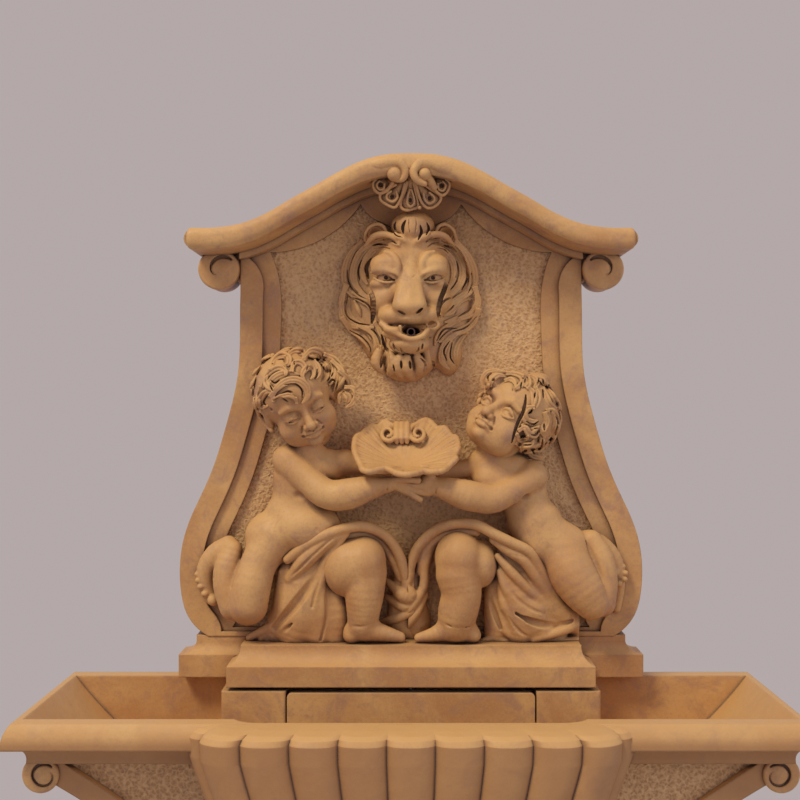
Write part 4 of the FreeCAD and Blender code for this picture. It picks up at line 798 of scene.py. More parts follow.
@dataclass
class Surroundings:
    """The camera, the lamps, the pale floor and the plain wall colour behind."""

    wall: Colour = (0.455, 0.395, 0.392)
    floor: Colour = (0.54, 0.51, 0.50)
    floor_radius: float = 1.25
    key_power: float = 390.0
    fill_power: float = 20.0
    sky: float = 0.50

    def build(self) -> None:
        """Makes everything that isn't part of the object."""
        bpy.context.scene.view_settings.view_transform = "Standard"
        self.camera()
        self.lamp("key", place=(-3.4, -3.75, 7.2), size=2.0, power=self.key_power, colour=(1.0, 0.93, 0.74),
                  aim=(0.0, 0.0, 1.05))
        self.lamp("fill", place=(2.9, -2.4, 1.9), size=2.2, power=self.fill_power, colour=(0.93, 0.93, 1.0),
                  aim=(0.0, 0.0, 0.9))
        self.world()
        self.ground()

    @staticmethod
    def camera() -> None:
        """Puts the camera where the picture was taken from, level and square to the wall."""
        lens = bpy.data.cameras.new("camera")
        lens.sensor_width = FILM_WIDTH
        lens.lens = FOCAL / PICTURE_SIZE * FILM_WIDTH
        lens.shift_x = -PICTURE_SHIFT / PICTURE_SIZE
        lens.clip_end = 50.0
        held = bpy.data.objects.new("camera", lens)
        held.location = (0.0, EYE_Y * MM, EYE_Z * MM)
        held.rotation_euler = (math.pi / 2, 0.0, 0.0)
        bpy.context.scene.collection.objects.link(held)
        bpy.context.scene.camera = held

    @staticmethod
    def lamp(name: str, place: Triple, size: float, power: float, colour: Colour, aim: Triple) -> None:
        """Hangs a square lamp.

        Args:
            name: its name.
            place: where it hangs, in metres.
            size: its side, in metres.
            power: its power in watts.
            colour: the light's colour.
            aim: the point that it faces.
        """
        light = bpy.data.lights.new(name, "AREA")
        light.size = size
        light.energy = power
        light.color = colour
        held = bpy.data.objects.new(name, light)
        held.location = place
        held.rotation_euler = (Vector(aim) - Vector(place)).to_track_quat("-Z", "Y").to_euler()
        bpy.context.scene.collection.objects.link(held)

    def world(self) -> None:
        """Soft light from all round, with the plain wall colour where the camera looks past the object."""
        world = bpy.data.worlds.new("room")
        bpy.context.scene.world = world
        world.use_nodes = True
        tree = world.node_tree
        tree.nodes.clear()
        add = tree.nodes.new
        path, mix, out = add("ShaderNodeLightPath"), add("ShaderNodeMixShader"), add("ShaderNodeOutputWorld")
        soft, plain = add("ShaderNodeBackground"), add("ShaderNodeBackground")
        soft.inputs["Color"].default_value = (0.88, 0.86, 1.08, 1.0)
        soft.inputs["Strength"].default_value = self.sky
        plain.inputs["Color"].default_value = (*self.wall, 1.0)
        either = add("ShaderNodeMath")
        either.operation = "MAXIMUM"
        tree.links.new(path.outputs["Is Camera Ray"], either.inputs[0])
        tree.links.new(path.outputs["Is Transmission Ray"], either.inputs[1])
        tree.links.new(either.outputs[0], mix.inputs[0])
        tree.links.new(soft.outputs[0], mix.inputs[1])
        tree.links.new(plain.outputs[0], mix.inputs[2])
        tree.links.new(mix.outputs[0], out.inputs["Surface"])

    def ground(self) -> None:
        """A round floor: rings of points at growing radii."""
        radius = np.linspace(0.02, self.floor_radius, 12)[:, None] / MM
        turn = np.linspace(0, 2 * np.pi, 96, endpoint=False)[None, :]
        x, y = radius * np.cos(turn), radius * np.sin(turn)
        flat = np.stack([x, y, np.full_like(x, -FLOOR_DROP)], -1)
        made = mesh_object("floor", flat.reshape(-1, 3), ring_faces(*flat.shape[:2]))
        g = Graph("pale floor")
        cloud = g.spread(g.noise(3.0, 4.0), 0.3, 0.7)
        tint = g.mix(cloud, self.floor, tuple(0.94 * c for c in self.floor))
        g.fill(g.surface, Base_Color=tint, Roughness=0.8)
        made.data.materials.append(g.material)


@dataclass(frozen=True)
class Tress:
    """A lock that lies on the clay already there: its width, strands, points of a drawing, and rise."""

    width: float
    parts: int
    points: tuple[tuple[float, float], ...]
    lift: float
    tip: float = 0.25

    def lay(self, clay: Clay, drawing: Drawing) -> None:
        """Follows the clay's front behind the points and lays the strands there.

        Args:
            clay: the clay.
            drawing: the drawing that it is on.
        """
        line = clay.on_front(drawing, self.points, 16, self.lift)
        clay.lock(line, self.width, self.parts, blend=0.9, outward=(0.0, -1.0, 0.0), samples=18, root=0.7,
                  tip=self.tip, height=0.9)


@dataclass(frozen=True)
class Groove:
    """A dark groove cut into the clay already there: its half width, its depth, and points of a drawing."""

    half: float
    depth: float
    points: tuple[tuple[float, float], ...]

    def lay(self, clay: Clay, drawing: Drawing) -> None:
        """Follows the clay's front behind the points and cuts it, fading out at both ends.

        Args:
            clay: the clay.
            drawing: the drawing that it is on.
        """
        steps = 12
        line = clay.on_front(drawing, self.points, steps, 0.0)
        fade = np.sin(np.pi * np.linspace(0.06, 0.94, steps)) ** 0.6
        clay.score(line, self.half * fade, self.depth * fade)


@dataclass
class LionMask:
    """The lion's head: face, open mouth, forelock, ears, mane and beard, modelled over its drawing."""

    drawing: Drawing = Drawing(320.0, 195.0, 8.25)
    cell: float = 1.2
    low: Triple = (-126.0, 50.0, 1180.0)
    high: Triple = (126.0, 176.0, 1490.0)
    back: float = BEDDED_Y
    face: Drawing = Drawing(345.0, 205.0, 11.2)
    middle: float = 700.0
    mane: tuple[Tress, ...] = (
        Tress(17, 3, ((340, 385), (250, 470), (203, 580), (198, 700), (240, 795), (320, 860), (405, 930)), 3),
        Tress(16, 3, ((640, 392), (540, 376), (430, 400), (330, 470), (275, 580), (262, 690), (305, 780),
                      (400, 870)), 4),
        Tress(13, 3, ((610, 420), (500, 425), (420, 462), (352, 560), (340, 670), (390, 760)), 4),
        Tress(15, 3, ((205, 740), (165, 850), (158, 950), (200, 1040), (290, 1085), (430, 1095)), 3),
        Tress(9, 2, ((250, 800), (330, 850), (400, 930), (415, 1040)), 3),
        Tress(9, 2, ((230, 850), (215, 940), (250, 1020), (330, 1060)), 3),
        Tress(8, 1, ((270, 880), (300, 940), (320, 1000)), 2),
        Tress(14, 3, ((165, 1010), (235, 1105), (325, 1165), (388, 1245), (412, 1370)), 3),
        Tress(13, 3, ((290, 1085), (380, 1125), (440, 1205), (455, 1310), (435, 1400)), 4),
        Tress(11, 2, ((435, 1050), (485, 1140), (500, 1240), (470, 1340)), 3),
        Tress(17, 3, ((1100, 385), (1180, 470), (1235, 580), (1252, 700), (1205, 800), (1095, 870),
                      (1000, 960)), 3),
        Tress(16, 3, ((830, 392), (930, 380), (1040, 418), (1120, 510), (1162, 620), (1140, 730), (1060, 820),
                      (985, 900)), 4),
        Tress(13, 3, ((865, 420), (980, 448), (1060, 520), (1092, 620), (1072, 720), (1010, 800)), 4),
        Tress(15, 3, ((1262, 760), (1288, 880), (1240, 965), (1130, 1015), (1010, 1050)), 3),
        Tress(11, 2, ((1225, 850), (1140, 890), (1085, 955), (1010, 1000)), 3),
        Tress(15, 3, ((1292, 940), (1252, 1045), (1165, 1110), (1055, 1150), (965, 1215)), 3),
        Tress(11, 2, ((1130, 1035), (1020, 1095), (955, 1165), (930, 1240)), 3),
        Tress(14, 3, ((1140, 1125), (1055, 1185), (1000, 1270), (990, 1370), (1050, 1440)), 4, 0.3),
        Tress(11, 2, ((1195, 1135), (1130, 1215), (1100, 1310), (1120, 1405)), 3),
    )
    grooves: tuple[Groove, ...] = (
        Groove(1.5, 8, ((335, 520), (300, 620), (312, 705))),
        Groove(3.3, 12, ((405, 525), (366, 600), (384, 690))),
        Groove(1.5, 8, ((255, 845), (345, 880), (402, 940), (415, 1050))),
        Groove(1.2, 7, ((225, 1118), (325, 1168), (392, 1245), (405, 1300))),
        Groove(1.3, 7, ((300, 1098), (400, 1165), (425, 1250))),
        Groove(1.4, 8, ((425, 1115), (478, 1190), (478, 1270))),
        Groove(1.1, 6, ((215, 620), (225, 730), (290, 815), (370, 860))),
        Groove(1.1, 6, ((185, 880), (200, 990), (290, 1055), (400, 1075))),
        Groove(1.7, 8, ((1110, 545), (1122, 620), (1102, 685))),
        Groove(1.5, 8, ((1188, 590), (1192, 700), (1150, 785))),
        Groove(1.3, 7, ((1232, 640), (1240, 730), (1208, 805))),
        Groove(1.6, 8, ((1232, 860), (1222, 940), (1120, 1003))),
        Groove(1.4, 7, ((1222, 862), (1150, 905), (1092, 985))),
        Groove(1.8, 9, ((1090, 838), (1012, 870), (972, 935))),
        Groove(1.5, 8, ((1115, 1100), (1005, 1110), (945, 1205))),
        Groove(1.2, 7, ((1280, 1000), (1190, 1090), (1080, 1130))),
        Groove(1.5, 8, ((1052, 1205), (1005, 1285), (1030, 1370))),
        Groove(1.3, 7, ((1072, 1215), (1058, 1330), (1092, 1395))),
        Groove(4.8, 15, ((378, 745), (418, 850), (424, 960), (412, 1055))),
        Groove(3.6, 15, ((890, 1175), (905, 1300), (925, 1430))),
        Groove(2.4, 12, ((492, 1150), (512, 1230), (540, 1290))),
        Groove(1.6, 7, ((585, 1222), (602, 1262), (645, 1290))),
        Groove(1.6, 7, ((648, 1262), (668, 1300), (725, 1314))),
        Groove(1.5, 7, ((762, 1305), (790, 1285), (802, 1250))), Groove(1.5, 7, ((832, 1225), (822, 1275))),
        Groove(2.2, 9, ((492, 1335), (486, 1425))), Groove(2.8, 10, ((542, 1265), (546, 1405))),
        Groove(2.2, 9, ((652, 1368), (655, 1430))), Groove(2.2, 9, ((722, 1368), (730, 1432))),
        Groove(1.8, 8, ((812, 1345), (852, 1395), (835, 1470))), Groove(1.4, 6, ((588, 1400), (600, 1460))),
    )
    creases: tuple[Groove, ...] = (
        Groove(4.0, 17, ((1130, 630), (1134, 788), (1096, 928), (1038, 1088), (1022, 1218), (1046, 1335))),
        Groove(2.0, 10, ((548, 182), (532, 235), (552, 292))),
        Groove(2.7, 11, ((656, 172), (626, 240), (632, 318))),
        Groove(2.4, 11, ((820, 228), (832, 305), (798, 390))),
        Groove(2.1, 10, ((893, 198), (914, 262), (888, 336))),
        Groove(1.0, 5, ((486, 300), (560, 345), (620, 362))),
        Groove(1.2, 5, ((955, 358), (915, 385), (880, 418))),
        Groove(0.7, 2, ((700, 130), (690, 230), (708, 340))),
        Groove(0.7, 2, ((768, 130), (776, 230), (752, 350))),
        Groove(1.6, 7, ((398, 388), (480, 384), (556, 438))),
        Groove(1.7, 7, ((285, 452), (370, 436), (462, 452))),
        Groove(1.1, 4, ((300, 490), (400, 470), (480, 492))),
        Groove(1.8, 7, ((1082, 455), (1150, 468), (1222, 518))),
        Groove(1.0, 4, ((900, 470), (960, 430), (1040, 415))),
        Groove(1.0, 4, ((1010, 480), (1085, 495), (1140, 545))),
    )

    def build(self, finish: bpy.types.Material) -> None:
        """Models the mask in clay and casts it.

        Args:
            finish: its material.
        """
        clay = Clay(self.low, self.high, self.cell)
        self.masses(clay)
        self.ears(clay)
        for each in self.mane:
            each.lay(clay, self.drawing)
        self.forelock(clay)
        self.brows(clay)
        self.cheeks(clay)
        self.nose(clay)
        self.jaws(clay)
        self.eyes(clay)
        for groove in self.grooves:
            groove.lay(clay, self.drawing)
        for groove in self.creases:
            groove.lay(clay, self.face)
        self.mouth(clay)
        clay.trim(1, self.back)
        settle(clay.cast("lion_mask_carving"), finish, instead_of=("lion_mask",))

    def both(self, points: Sequence[Triple]) -> tuple[Array, Array]:
        """A line of places on the left half of the face, and the one across the nose's line."""
        across = [(2 * self.middle - u, v, proud) for u, v, proud in points]
        return self.face.line(points), self.face.line(across)

    def pads(self, clay: Clay, spot: Triple, radii: Triple, blend: float, cut: bool = False) -> None:
        """The same ellipsoid on both halves of the face."""
        for line in self.both((spot,)):
            clay.egg(line[0], radii, blend, cut)

    def bow(self, clay: Clay, points: Sequence[Triple], radii: Sequence[float], blend: float,
            cut: bool = False, mirrored: bool = True) -> None:
        """A smooth rod through places of the face, on one half or on both.

        Args:
            clay: the mask's clay.
            points: its places on the drawing of the face.
            radii: its radii, evenly spread along it.
            blend: the seam's width.
            cut: whether it is cut away.
            mirrored: whether the other half has it too.
        """
        lines = self.both(points) if mirrored else (self.face.line(points),)
        count = 3 * len(points)
        spread = np.interp(np.linspace(0, 1, count), np.linspace(0, 1, len(radii)), radii)
        for line in lines:
            clay.limb(flowing(line, count), spread, blend, cut)

    def masses(self, clay: Clay) -> None:
        """The bulk of the mane, the skull and the beard.

        Args:
            clay: the mask's clay.
        """
        at = self.drawing.at
        clay.egg(at(722, 780, 0), (108, 40, 108), 6)
        clay.egg(at(728, 1010, 0), (104, 36, 84), 10)
        clay.egg(at(716, 1271, 0), (74, 40, 42), 14)
        clay.egg(at(1040, 1300, 0), (24, 28, 40), 10)
        clay.egg(at(725, 761, 26), (66, 40, 80), 12)
        clay.egg(at(735, 540, 34), (60, 42, 50), 12)
        clay.egg(at(700, 1390, 22), (44, 36, 32), 12)

    def ears(self, clay: Clay) -> None:
        """Two round ears, hollow inside their rims and half under the hair.

        Args:
            clay: the mask's clay.
        """
        at = self.face.at
        rims = (((205, 395, 44), (205, 330, 50), (245, 255, 55), (330, 215, 58), (400, 235, 60),
                 (440, 305, 60)),
                ((1000, 290, 60), (1030, 240, 60), (1090, 215, 58), (1150, 240, 55), (1200, 300, 50),
                 (1222, 400, 44)))
        for rim, middle in zip(rims, ((318, 320), (1108, 322))):
            clay.egg(at(*middle, 26), (19, 27, 18), 5)
            clay.egg(at(*middle, 62), (13.5, 27, 12.5), 2, True)
            clay.limb(flowing(self.face.line(rim), 14), 3.0, 2)
        self.bow(clay, ((210, 450, 54), (300, 352, 64), (420, 330, 69), (540, 372, 75), (650, 440, 80)),
                 (3, 5.5, 6, 5.5, 3), 5)

    def forelock(self, clay: Clay) -> None:
        """The smooth tuft above the forehead, with its strands drawn up from a narrow root.

        Args:
            clay: the mask's clay.
        """
        at = self.face.at
        clay.egg(at(737, 240, 50), (37, 40, 25.5), 3)
        clay.egg(at(724, 310, 54), (24, 36, 20), 8)
        clay.egg(at(716, 420, 58), (13, 26, 16), 8)
        for side, tips in ((-1.0, ((600, 330), (520, 300))), (1.0, ((850, 340), (930, 300)))):
            for k, (u, v) in enumerate(tips):
                start = (716 + side * (24 + 10 * k), 440 - 14 * k, 80 - 3 * k)
                middle = (0.5 * (716 + u) + side * 18, 0.5 * (420 + v) + 16, 84 - 3 * k)
                clay.limb(flowing(self.face.line((start, middle, (u, v, 82 - 5 * k))), 8),
                          [3.2, 4.0, 4.6, 4.9, 4.8, 4.2, 3.0, 1.5], 3)

    def brows(self, clay: Clay) -> None:
        """The forehead, and on each side a heavy brow pad inside a crescent down to the eye's corner.

        Args:
            clay: the mask's clay.
        """
        clay.egg(self.face.at(712, 560, 50), (44, 34, 34), 8)
        self.pads(clay, (450, 668, 64), (29, 25, 19), 9)
        self.pads(clay, (408, 650, 74), (16.5, 14, 12.5), 5)
        self.pads(clay, (505, 690, 68), (15, 22, 16), 6)
        self.bow(clay, ((430, 530, 76), (505, 560, 82), (556, 640, 86), (568, 730, 87), (572, 815, 84)),
                 (4, 6, 6.6, 6, 3.6), 4)
        self.bow(clay, ((470, 575, 92), (510, 640, 94), (508, 715, 93), (500, 765, 92)),
                 (1.0, 2.4, 2.6, 1.4), 3, True)
        self.bow(clay, ((640, 590, 90), (636, 690, 93), (628, 780, 94)), (1.4, 3.0, 2.2), 4, True)
        self.pads(clay, (405, 700, 72), (19, 15, 12), 7)
        self.bow(clay, ((300, 738, 76), (395, 728, 86), (480, 745, 90), (545, 785, 91), (578, 832, 86)),
                 (2.6, 4, 4.4, 4, 2.4), 8)

    def cheeks(self, clay: Clay) -> None:
        """The planes beside the nose, and the pads under the eyes.

        Args:
            clay: the mask's clay.
        """
        self.pads(clay, (430, 1050, 48), (30, 30, 27), 12)
        self.pads(clay, (545, 950, 54), (17, 30, 24), 10)
        self.pads(clay, (372, 890, 56), (18, 23, 11.5), 7)

    def nose(self, clay: Clay) -> None:
        """A broad flat bridge that widens to the tip, with a curved edge below and a nostril each side.

        Args:
            clay: the mask's clay.
        """
        at = self.face.at
        self.bow(clay, ((662, 560, 70), (654, 740, 78), (622, 940, 87), (596, 1120, 95)), (7, 8, 11, 13.5), 6)
        self.bow(clay, ((712, 540, 72), (710, 760, 81), (702, 960, 90), (700, 1140, 99)),
                 (9, 10, 12, 13.5), 6, mirrored=False)
        clay.egg(at(698, 1132, 98), (25, 15, 11.5), 5)
        self.bow(clay, ((700, 800, 96), (668, 812, 95), (640, 790, 92)), (0.8, 1.3, 0.8), 2, True)
        for place, lean in ((at(616, 1208, 100), 26.0), (at(812, 1184, 99), -38.0)):
            clay.egg(place, (8.4, 12, 2.5), 1.2, True, turned(roll=lean))
        self.bow(clay, ((655, 1228, 102), (705, 1240, 104), (770, 1222, 102)),
                 (1.2, 2.2, 1.2), 1.2, True, mirrored=False)
        clay.limb([at(710, 1240, 108), at(713, 1330, 103)], [1.7, 2.4], 2, True)

    def eyes(self, clay: Clay) -> None:
        """Open eyes under the brows' edge, with a drilled pupil, a lid below and a deep inner corner.

        Args:
            clay: the mask's clay.
        """
        self.pads(clay, (442, 818, 97), (20.5, 17, 8.2), 2.5, True)
        self.pads(clay, (436, 818, 67), (15, 15, 9.4), 1.2)
        self.bow(clay, ((268, 756, 66), (340, 768, 78), (420, 752, 86), (490, 782, 88), (545, 832, 85),
                        (572, 842, 82)), (1.6, 3.0, 3.6, 3.4, 2.6, 1.6), 2.5)
        self.bow(clay, ((300, 815, 71), (360, 850, 78), (440, 868, 82), (510, 858, 83), (560, 842, 81)),
                 (1.4, 2.0, 2.3, 2.0, 1.4), 2)
        self.pads(clay, (438, 812, 83), (3.9, 9, 3.9), 0.8, True)
        self.pads(clay, (520, 838, 84), (3.6, 6, 1.8), 0.8, True)
        self.bow(clay, ((262, 905, 76), (320, 962, 79), (410, 966, 82), (490, 905, 84)),
                 (1.0, 1.8, 1.8, 1.0), 3, True)

    def jaws(self, clay: Clay) -> None:
        """Muzzle, lips, the rolled corner of the mouth, the chin and the beard's lumps.

        Args:
            clay: the mask's clay.
        """
        at = self.face.at
        clay.egg(at(515, 1240, 69), (26, 28, 17.5), 7)
        clay.egg(at(880, 1236, 67), (27, 28, 17), 7)
        clay.egg(at(700, 1275, 72), (22, 30, 11), 6)
        clay.egg(at(705, 1560, 62), (36, 32, 17), 6)
        clay.egg(at(540, 1400, 84), (18, 12, 6), 6)
        clay.egg(at(650, 1440, 74), (40, 14, 12), 6)
        lip = ((385, 1332, 80), (480, 1400, 88), (600, 1462, 93), (720, 1502, 95), (840, 1470, 92),
               (900, 1400, 85))
        clay.limb(flowing(self.face.line(lip), 18), 4.4, 6)
        turn = np.linspace(0, 2 * math.pi, 15)
        clay.limb([at(962 + 60 * math.cos(a), 1338 + 46 * math.sin(a), 80) for a in turn], 3.4, 2)
        lumps = (((470, 1290, 48), (448, 1380, 46), (505, 1455, 40)),
                 ((566, 1320, 60), (592, 1400, 58), (560, 1468, 48)),
                 ((640, 1340, 64), (625, 1420, 60), (662, 1490, 46)),
                 ((700, 1345, 66), (702, 1430, 60), (745, 1510, 44)),
                 ((785, 1335, 62), (815, 1405, 58), (785, 1480, 46)),
                 ((850, 1255, 56), (878, 1340, 50), (850, 1430, 44)))
        for lump in lumps:
            clay.limb(flowing(self.drawing.line(lump), 7), [7, 8.5, 9.5, 10, 9.5, 8.5, 6], 2.5)

    def mouth(self, clay: Clay) -> None:
        """The line of the mouth, the opening for the pipe, the hole in its corner, a tooth, and whiskers.

        Args:
            clay: the mask's clay.
        """
        at = self.face.at
        line = ((345, 1278, 84), (430, 1330, 92), (545, 1360, 98), (630, 1352, 101), (720, 1345, 103),
                (820, 1350, 101), (905, 1338, 94))
        clay.limb(flowing(self.face.line(line), 20), 2.5, 1.5, True)
        clay.egg(at(722, 1404, 72), (17.0, 60, 8.4), 1.5, True)
        clay.egg(at(952, 1334, 84), (7.4, 12, 5.2), 1.5, True)
        clay.limb([at(594, 1362, 98), at(602, 1412, 98)], [3.0, 1.2], 1.2)
        for row in range(3):
            whisker = ((395 - 8 * row, 1160 + 42 * row, 92), (450, 1216 + 34 * row, 98),
                       (560 + 16 * row, 1240 + 30 * row, 100))
            fade = [0.3, 0.6, 0.8, 0.9, 0.9, 0.8, 0.6, 0.3]
            clay.limb(flowing(self.face.line(whisker), 8), fade, 1.0, True)


class Posed:
    """Clay seen from a head's own frame: places and turns are carried into the clay's frame."""

    def __init__(self, clay: Clay, turn: Array, place: Array) -> None:
        """Keeps the clay, the head's turn and where the head's origin goes.

        Args:
            clay: the clay.
            turn: the head's turn.
            place: where the head's origin goes.
        """
        self.clay = clay
        self.turn = turn
        self.place = place

    def carried(self, points: Sequence[Triple] | Array) -> Array:
        """Places of the head's frame, carried into the clay's."""
        return np.asarray(points, float) @ self.turn.T + self.place

    def egg(self, centre: Triple, radii: Triple, blend: float, cut: bool = False) -> None:
        """An ellipsoid along the head's axes; see Clay.egg."""
        self.clay.egg(self.carried(centre), radii, blend, cut, self.turn)

    def limb(self, points: Sequence[Triple], radii: Sequence[float] | float, blend: float,
             cut: bool = False) -> None:
        """A chain of rods; see Clay.limb."""
        self.clay.limb(self.carried(points), radii, blend, cut)


@dataclass(frozen=True)
class Ball:
    """An ellipsoid on a drawing: u, v and depth, its radii in millimetres, and its seam's width."""

    at: Triple
    radii: Triple
    blend: float
    cut: bool = False

    def lay(self, clay: Clay, drawing: Drawing) -> None:
        """Adds it to the clay, or cuts it away."""
        clay.egg(drawing.at(*self.at), self.radii, self.blend, self.cut)


@dataclass
class ChildHead:
    """One child's head: its face is laid in the head's own frame, its hair over a drawing of the picture."""

    name: str
    middle: tuple[float, float, float]
    turn: tuple[float, float, float]
    lids: float
    seed: int
    drawing: Drawing
    tresses: tuple[Tress, ...]
    grooves: tuple[Groove, ...]
    dots: tuple[tuple[float, float, float], ...]
    fills: tuple[Ball, ...]
    long_hair: bool = False
    throat: tuple[Triple, Triple] = ((0, 10, -60), (36, 40, 36))
    curls: int = 84
    cell: float = 1.15
    reach: float = 98.0

    CROWN = (6.0, 28.0, 84.0)
    SCALP_MIDDLE = (0.0, 10.0, 22.0)
    SCALP = (64.0, 69.0, 61.0)

    def build(self, finish: bpy.types.Material) -> None:
        """Models the head in place and settles it.

        Args:
            finish: its material.
        """
        place = seen(*self.middle)
        clay = Clay(place - self.reach, place + self.reach, self.cell)
        head = Posed(clay, turned(*self.turn), place)
        self.skull(head)
        self.eyes(head)
        self.nose(head)
        self.lips(head)
        self.ears(head)
        self.hair(head)
        settle(clay.cast(self.name, BEDDED_Y), finish)

    def skull(self, head: Posed) -> None:
        """Cranium, forehead, cheeks, jaw and chin.

        Args:
            head: the clay in the head's frame.
        """
        head.egg((0, 10, 18), (60, 68, 60), 4)
        head.egg((0, -12, -22), (46, 50, 48), 12)
        head.egg((0, -25, 25), (47, 39, 40), 10)
        head.egg((0, -38, -58), (16, 14, 12), 12)
        head.egg(*self.throat, 10)
        for side in (-1.0, 1.0):
            head.egg((side * 28, -29, -33), (22, 22, 22), 10)
            head.egg((side * 19, -18, -50), (26, 26, 20), 10)

    def eyes(self, head: Posed) -> None:
        """Sockets, eyeballs, lids and brows; the lids figure says how far the upper ones are lowered.

        Args:
            head: the clay in the head's frame.
        """
        drop = 7.0 * self.lids
        for side in (-1.0, 1.0):
            head.egg((side * 23, -62, -6), (17, 11, 11), 7, True)
            head.egg((side * 22.5, -43, -8), (14, 13.5, 12.5), 1.5)
            head.limb([(side * 10.5, -52, -9), (side * 17, -56.5, -3.2 - drop),
                       (side * 24, -57.5, -1.6 - drop), (side * 31, -54, -4 - drop), (side * 36, -48, -9)],
                      [1.6, 2.5, 2.8, 2.5, 1.6], 2)
            if self.lids > 0.3:
                head.egg((side * 23, -44.5, -5), (14.5, 14, 9), 2)
            head.limb([(side * 10.5, -52, -10), (side * 17, -55.5, -14.5), (side * 24, -56.3, -16),
                       (side * 31, -53, -13.8), (side * 36, -48, -9)], [1.5, 2.2, 2.4, 2.2, 1.5], 2)
            head.limb([(side * 12, -56.5, -9.5 - 0.6 * drop), (side * 23, -59.5, -8 - 0.8 * drop),
                       (side * 34, -51, -9 - 0.4 * drop)], [1.3, 2.2, 1.3], 1, True)
            head.limb([(side * 9, -57, 7), (side * 22, -60, 11.5), (side * 37, -51, 7)], [3, 4, 3], 9)

    @staticmethod
    def nose(head: Posed) -> None:
        """A short nose with round wings.

        Args:
            head: the clay in the head's frame.
        """
        head.limb([(0, -56, 2), (0, -61, -12), (0, -69, -27)], [5, 5.5, 7.5], 6)
        head.egg((0, -70, -29), (8, 7.5, 7), 3)
        for side in (-1.0, 1.0):
            head.egg((side * 8, -62.5, -30.5), (5.5, 6.5, 5), 2.5)
            head.egg((side * 4.3, -69, -35.5), (2.6, 4.5, 2.4), 1, True)
            head.limb([(side * 13, -58, -27), (side * 18, -54, -38)], [0.8, 1.6], 4, True)

    @staticmethod
    def lips(head: Posed) -> None:
        """Full lips with a groove between, and the dents above and below.

        Args:
            head: the clay in the head's frame.
        """
        head.egg((0, -50, -44), (20, 13, 10), 6)
        for side in (-1.0, 1.0):
            head.limb([(0, -62.5, -41), (side * 8, -61, -41), (side * 15.5, -54, -44)], [3.6, 3.6, 1.6], 2)
            head.limb([(0, -61, -48.5), (side * 7, -60, -48), (side * 14, -54, -45.5)], [4.6, 4.2, 1.8], 2)
            head.limb([(0, -66, -44.4), (side * 8, -64.5, -44.2), (side * 16.5, -56, -45)], [1.5, 1.5, 1.3],
                      1, True)
            head.egg((side * 18, -53, -45), (2.5, 4, 2.5), 4, True)
        head.limb([(0, -66, -35), (0, -65, -39)], [1.4, 1.8], 2, True)
        head.limb([(-8, -57, -54.5), (0, -58, -55), (8, -57, -54.5)], [1.2, 2.0, 1.2], 4, True)
        head.egg((0, -49, -61), (12, 10, 9), 6)

    @staticmethod
    def ears(head: Posed) -> None:
        """Round ears that stand off a little.

        Args:
            head: the clay in the head's frame.
        """
        for side in (-1.0, 1.0):
            head.egg((side * 57, 0, -6), (8, 14, 20), 4)
            rim = [(side * 58, -13, 4), (side * 63, -8, 13), (side * 67, 6, 13), (side * 68, 14, 0),
                   (side * 65, 9, -15), (side * 60, -6, -26)]
            head.limb(rim, [3, 3.6, 3.8, 3.8, 3.6, 4.4], 2)
            head.egg((side * 68, 0, -3), (7, 8, 11), 2, True)

    def hair(self, head: Posed) -> None:
        """The scalp's mass, seeded curls where the picture doesn't show it, and its locks where it does.

        The curls stand on points that turn by the golden angle, so that they lie evenly.

        Args:
            head: the clay in the head's frame.
        """
        head.egg(self.SCALP_MIDDLE, self.SCALP, 4)
        draw = np.random.default_rng(self.seed)
        for k in range(self.curls):
            height = 1.0 - 2.0 * (k + 0.5) / self.curls
            angle = GOLDEN_ANGLE * k
            flat = math.sqrt(1 - height * height)
            way = np.array([flat * math.cos(angle), flat * math.sin(angle), height])
            spot = np.array(self.SCALP_MIDDLE) + way * self.SCALP
            low = -66.0 if self.long_hair else -46.0
            over_face = way[1] < -0.30 and spot[2] < 44 + 6 * abs(way[0])
            over_ear = abs(spot[0]) > 40 and spot[1] < 24 and spot[2] < 16
            shown = (head.turn @ way)[1] < -0.35
            if not (over_face or over_ear or shown or spot[2] < low):
                self.curl(head, spot, way, draw)
        for each in (*self.fills, *self.tresses, *self.grooves):
            each.lay(head.clay, self.drawing)
        for u, v, radius in self.dots:
            spot = head.clay.on_front(self.drawing, ((u, v), (u + 1.0, v)), 2, 0.0)[0]
            head.clay.egg(spot, (radius, 4.5, radius), 1.0, True)

    def curl(self, head: Posed, spot: Array, way: Array, draw: np.random.Generator) -> None:
        """One tuft that runs away from the crown and turns in on itself, lying on the scalp.

        Its heading turns ever faster along its length, and its points are carried back onto the scalp's
        ellipsoid.

        Args:
            head: the clay in the head's frame.
            spot: the point of the scalp that it is on.
            way: the way out of the scalp there.
            draw: the random draws.
        """
        away = spot - np.array(self.CROWN)
        away -= (away @ way) * way
        away /= max(np.linalg.norm(away), 1e-6)
        side = np.cross(way, away)
        hand = draw.choice((-1.0, 1.0))
        length, bend = draw.uniform(34.0, 46.0), draw.uniform(4.2, 5.6)
        start = draw.uniform(-0.9, 0.5)
        t = np.linspace(0, 1, 9)
        heading = hand * (start + bend * t ** 1.5)
        step = (np.cos(heading)[:, None] * away + np.sin(heading)[:, None] * side) * (length / len(t))
        path = spot + np.cumsum(step, axis=0) - 0.3 * length * away
        middle, half = np.array(self.SCALP_MIDDLE), np.array(self.SCALP)
        ratio = np.linalg.norm((path - middle) / half, axis=1, keepdims=True)
        lift = draw.uniform(0.5, 2.0) + 4.5 * np.sin(math.pi * t * 0.9)
        path = middle + (path - middle) / ratio + lift[:, None] * way
        head.clay.lock(head.carried(path), draw.uniform(13.0, 16.5), 3, blend=1.2, outward=head.turn @ way,
                       samples=14, root=0.6, tip=0.3, height=0.9)


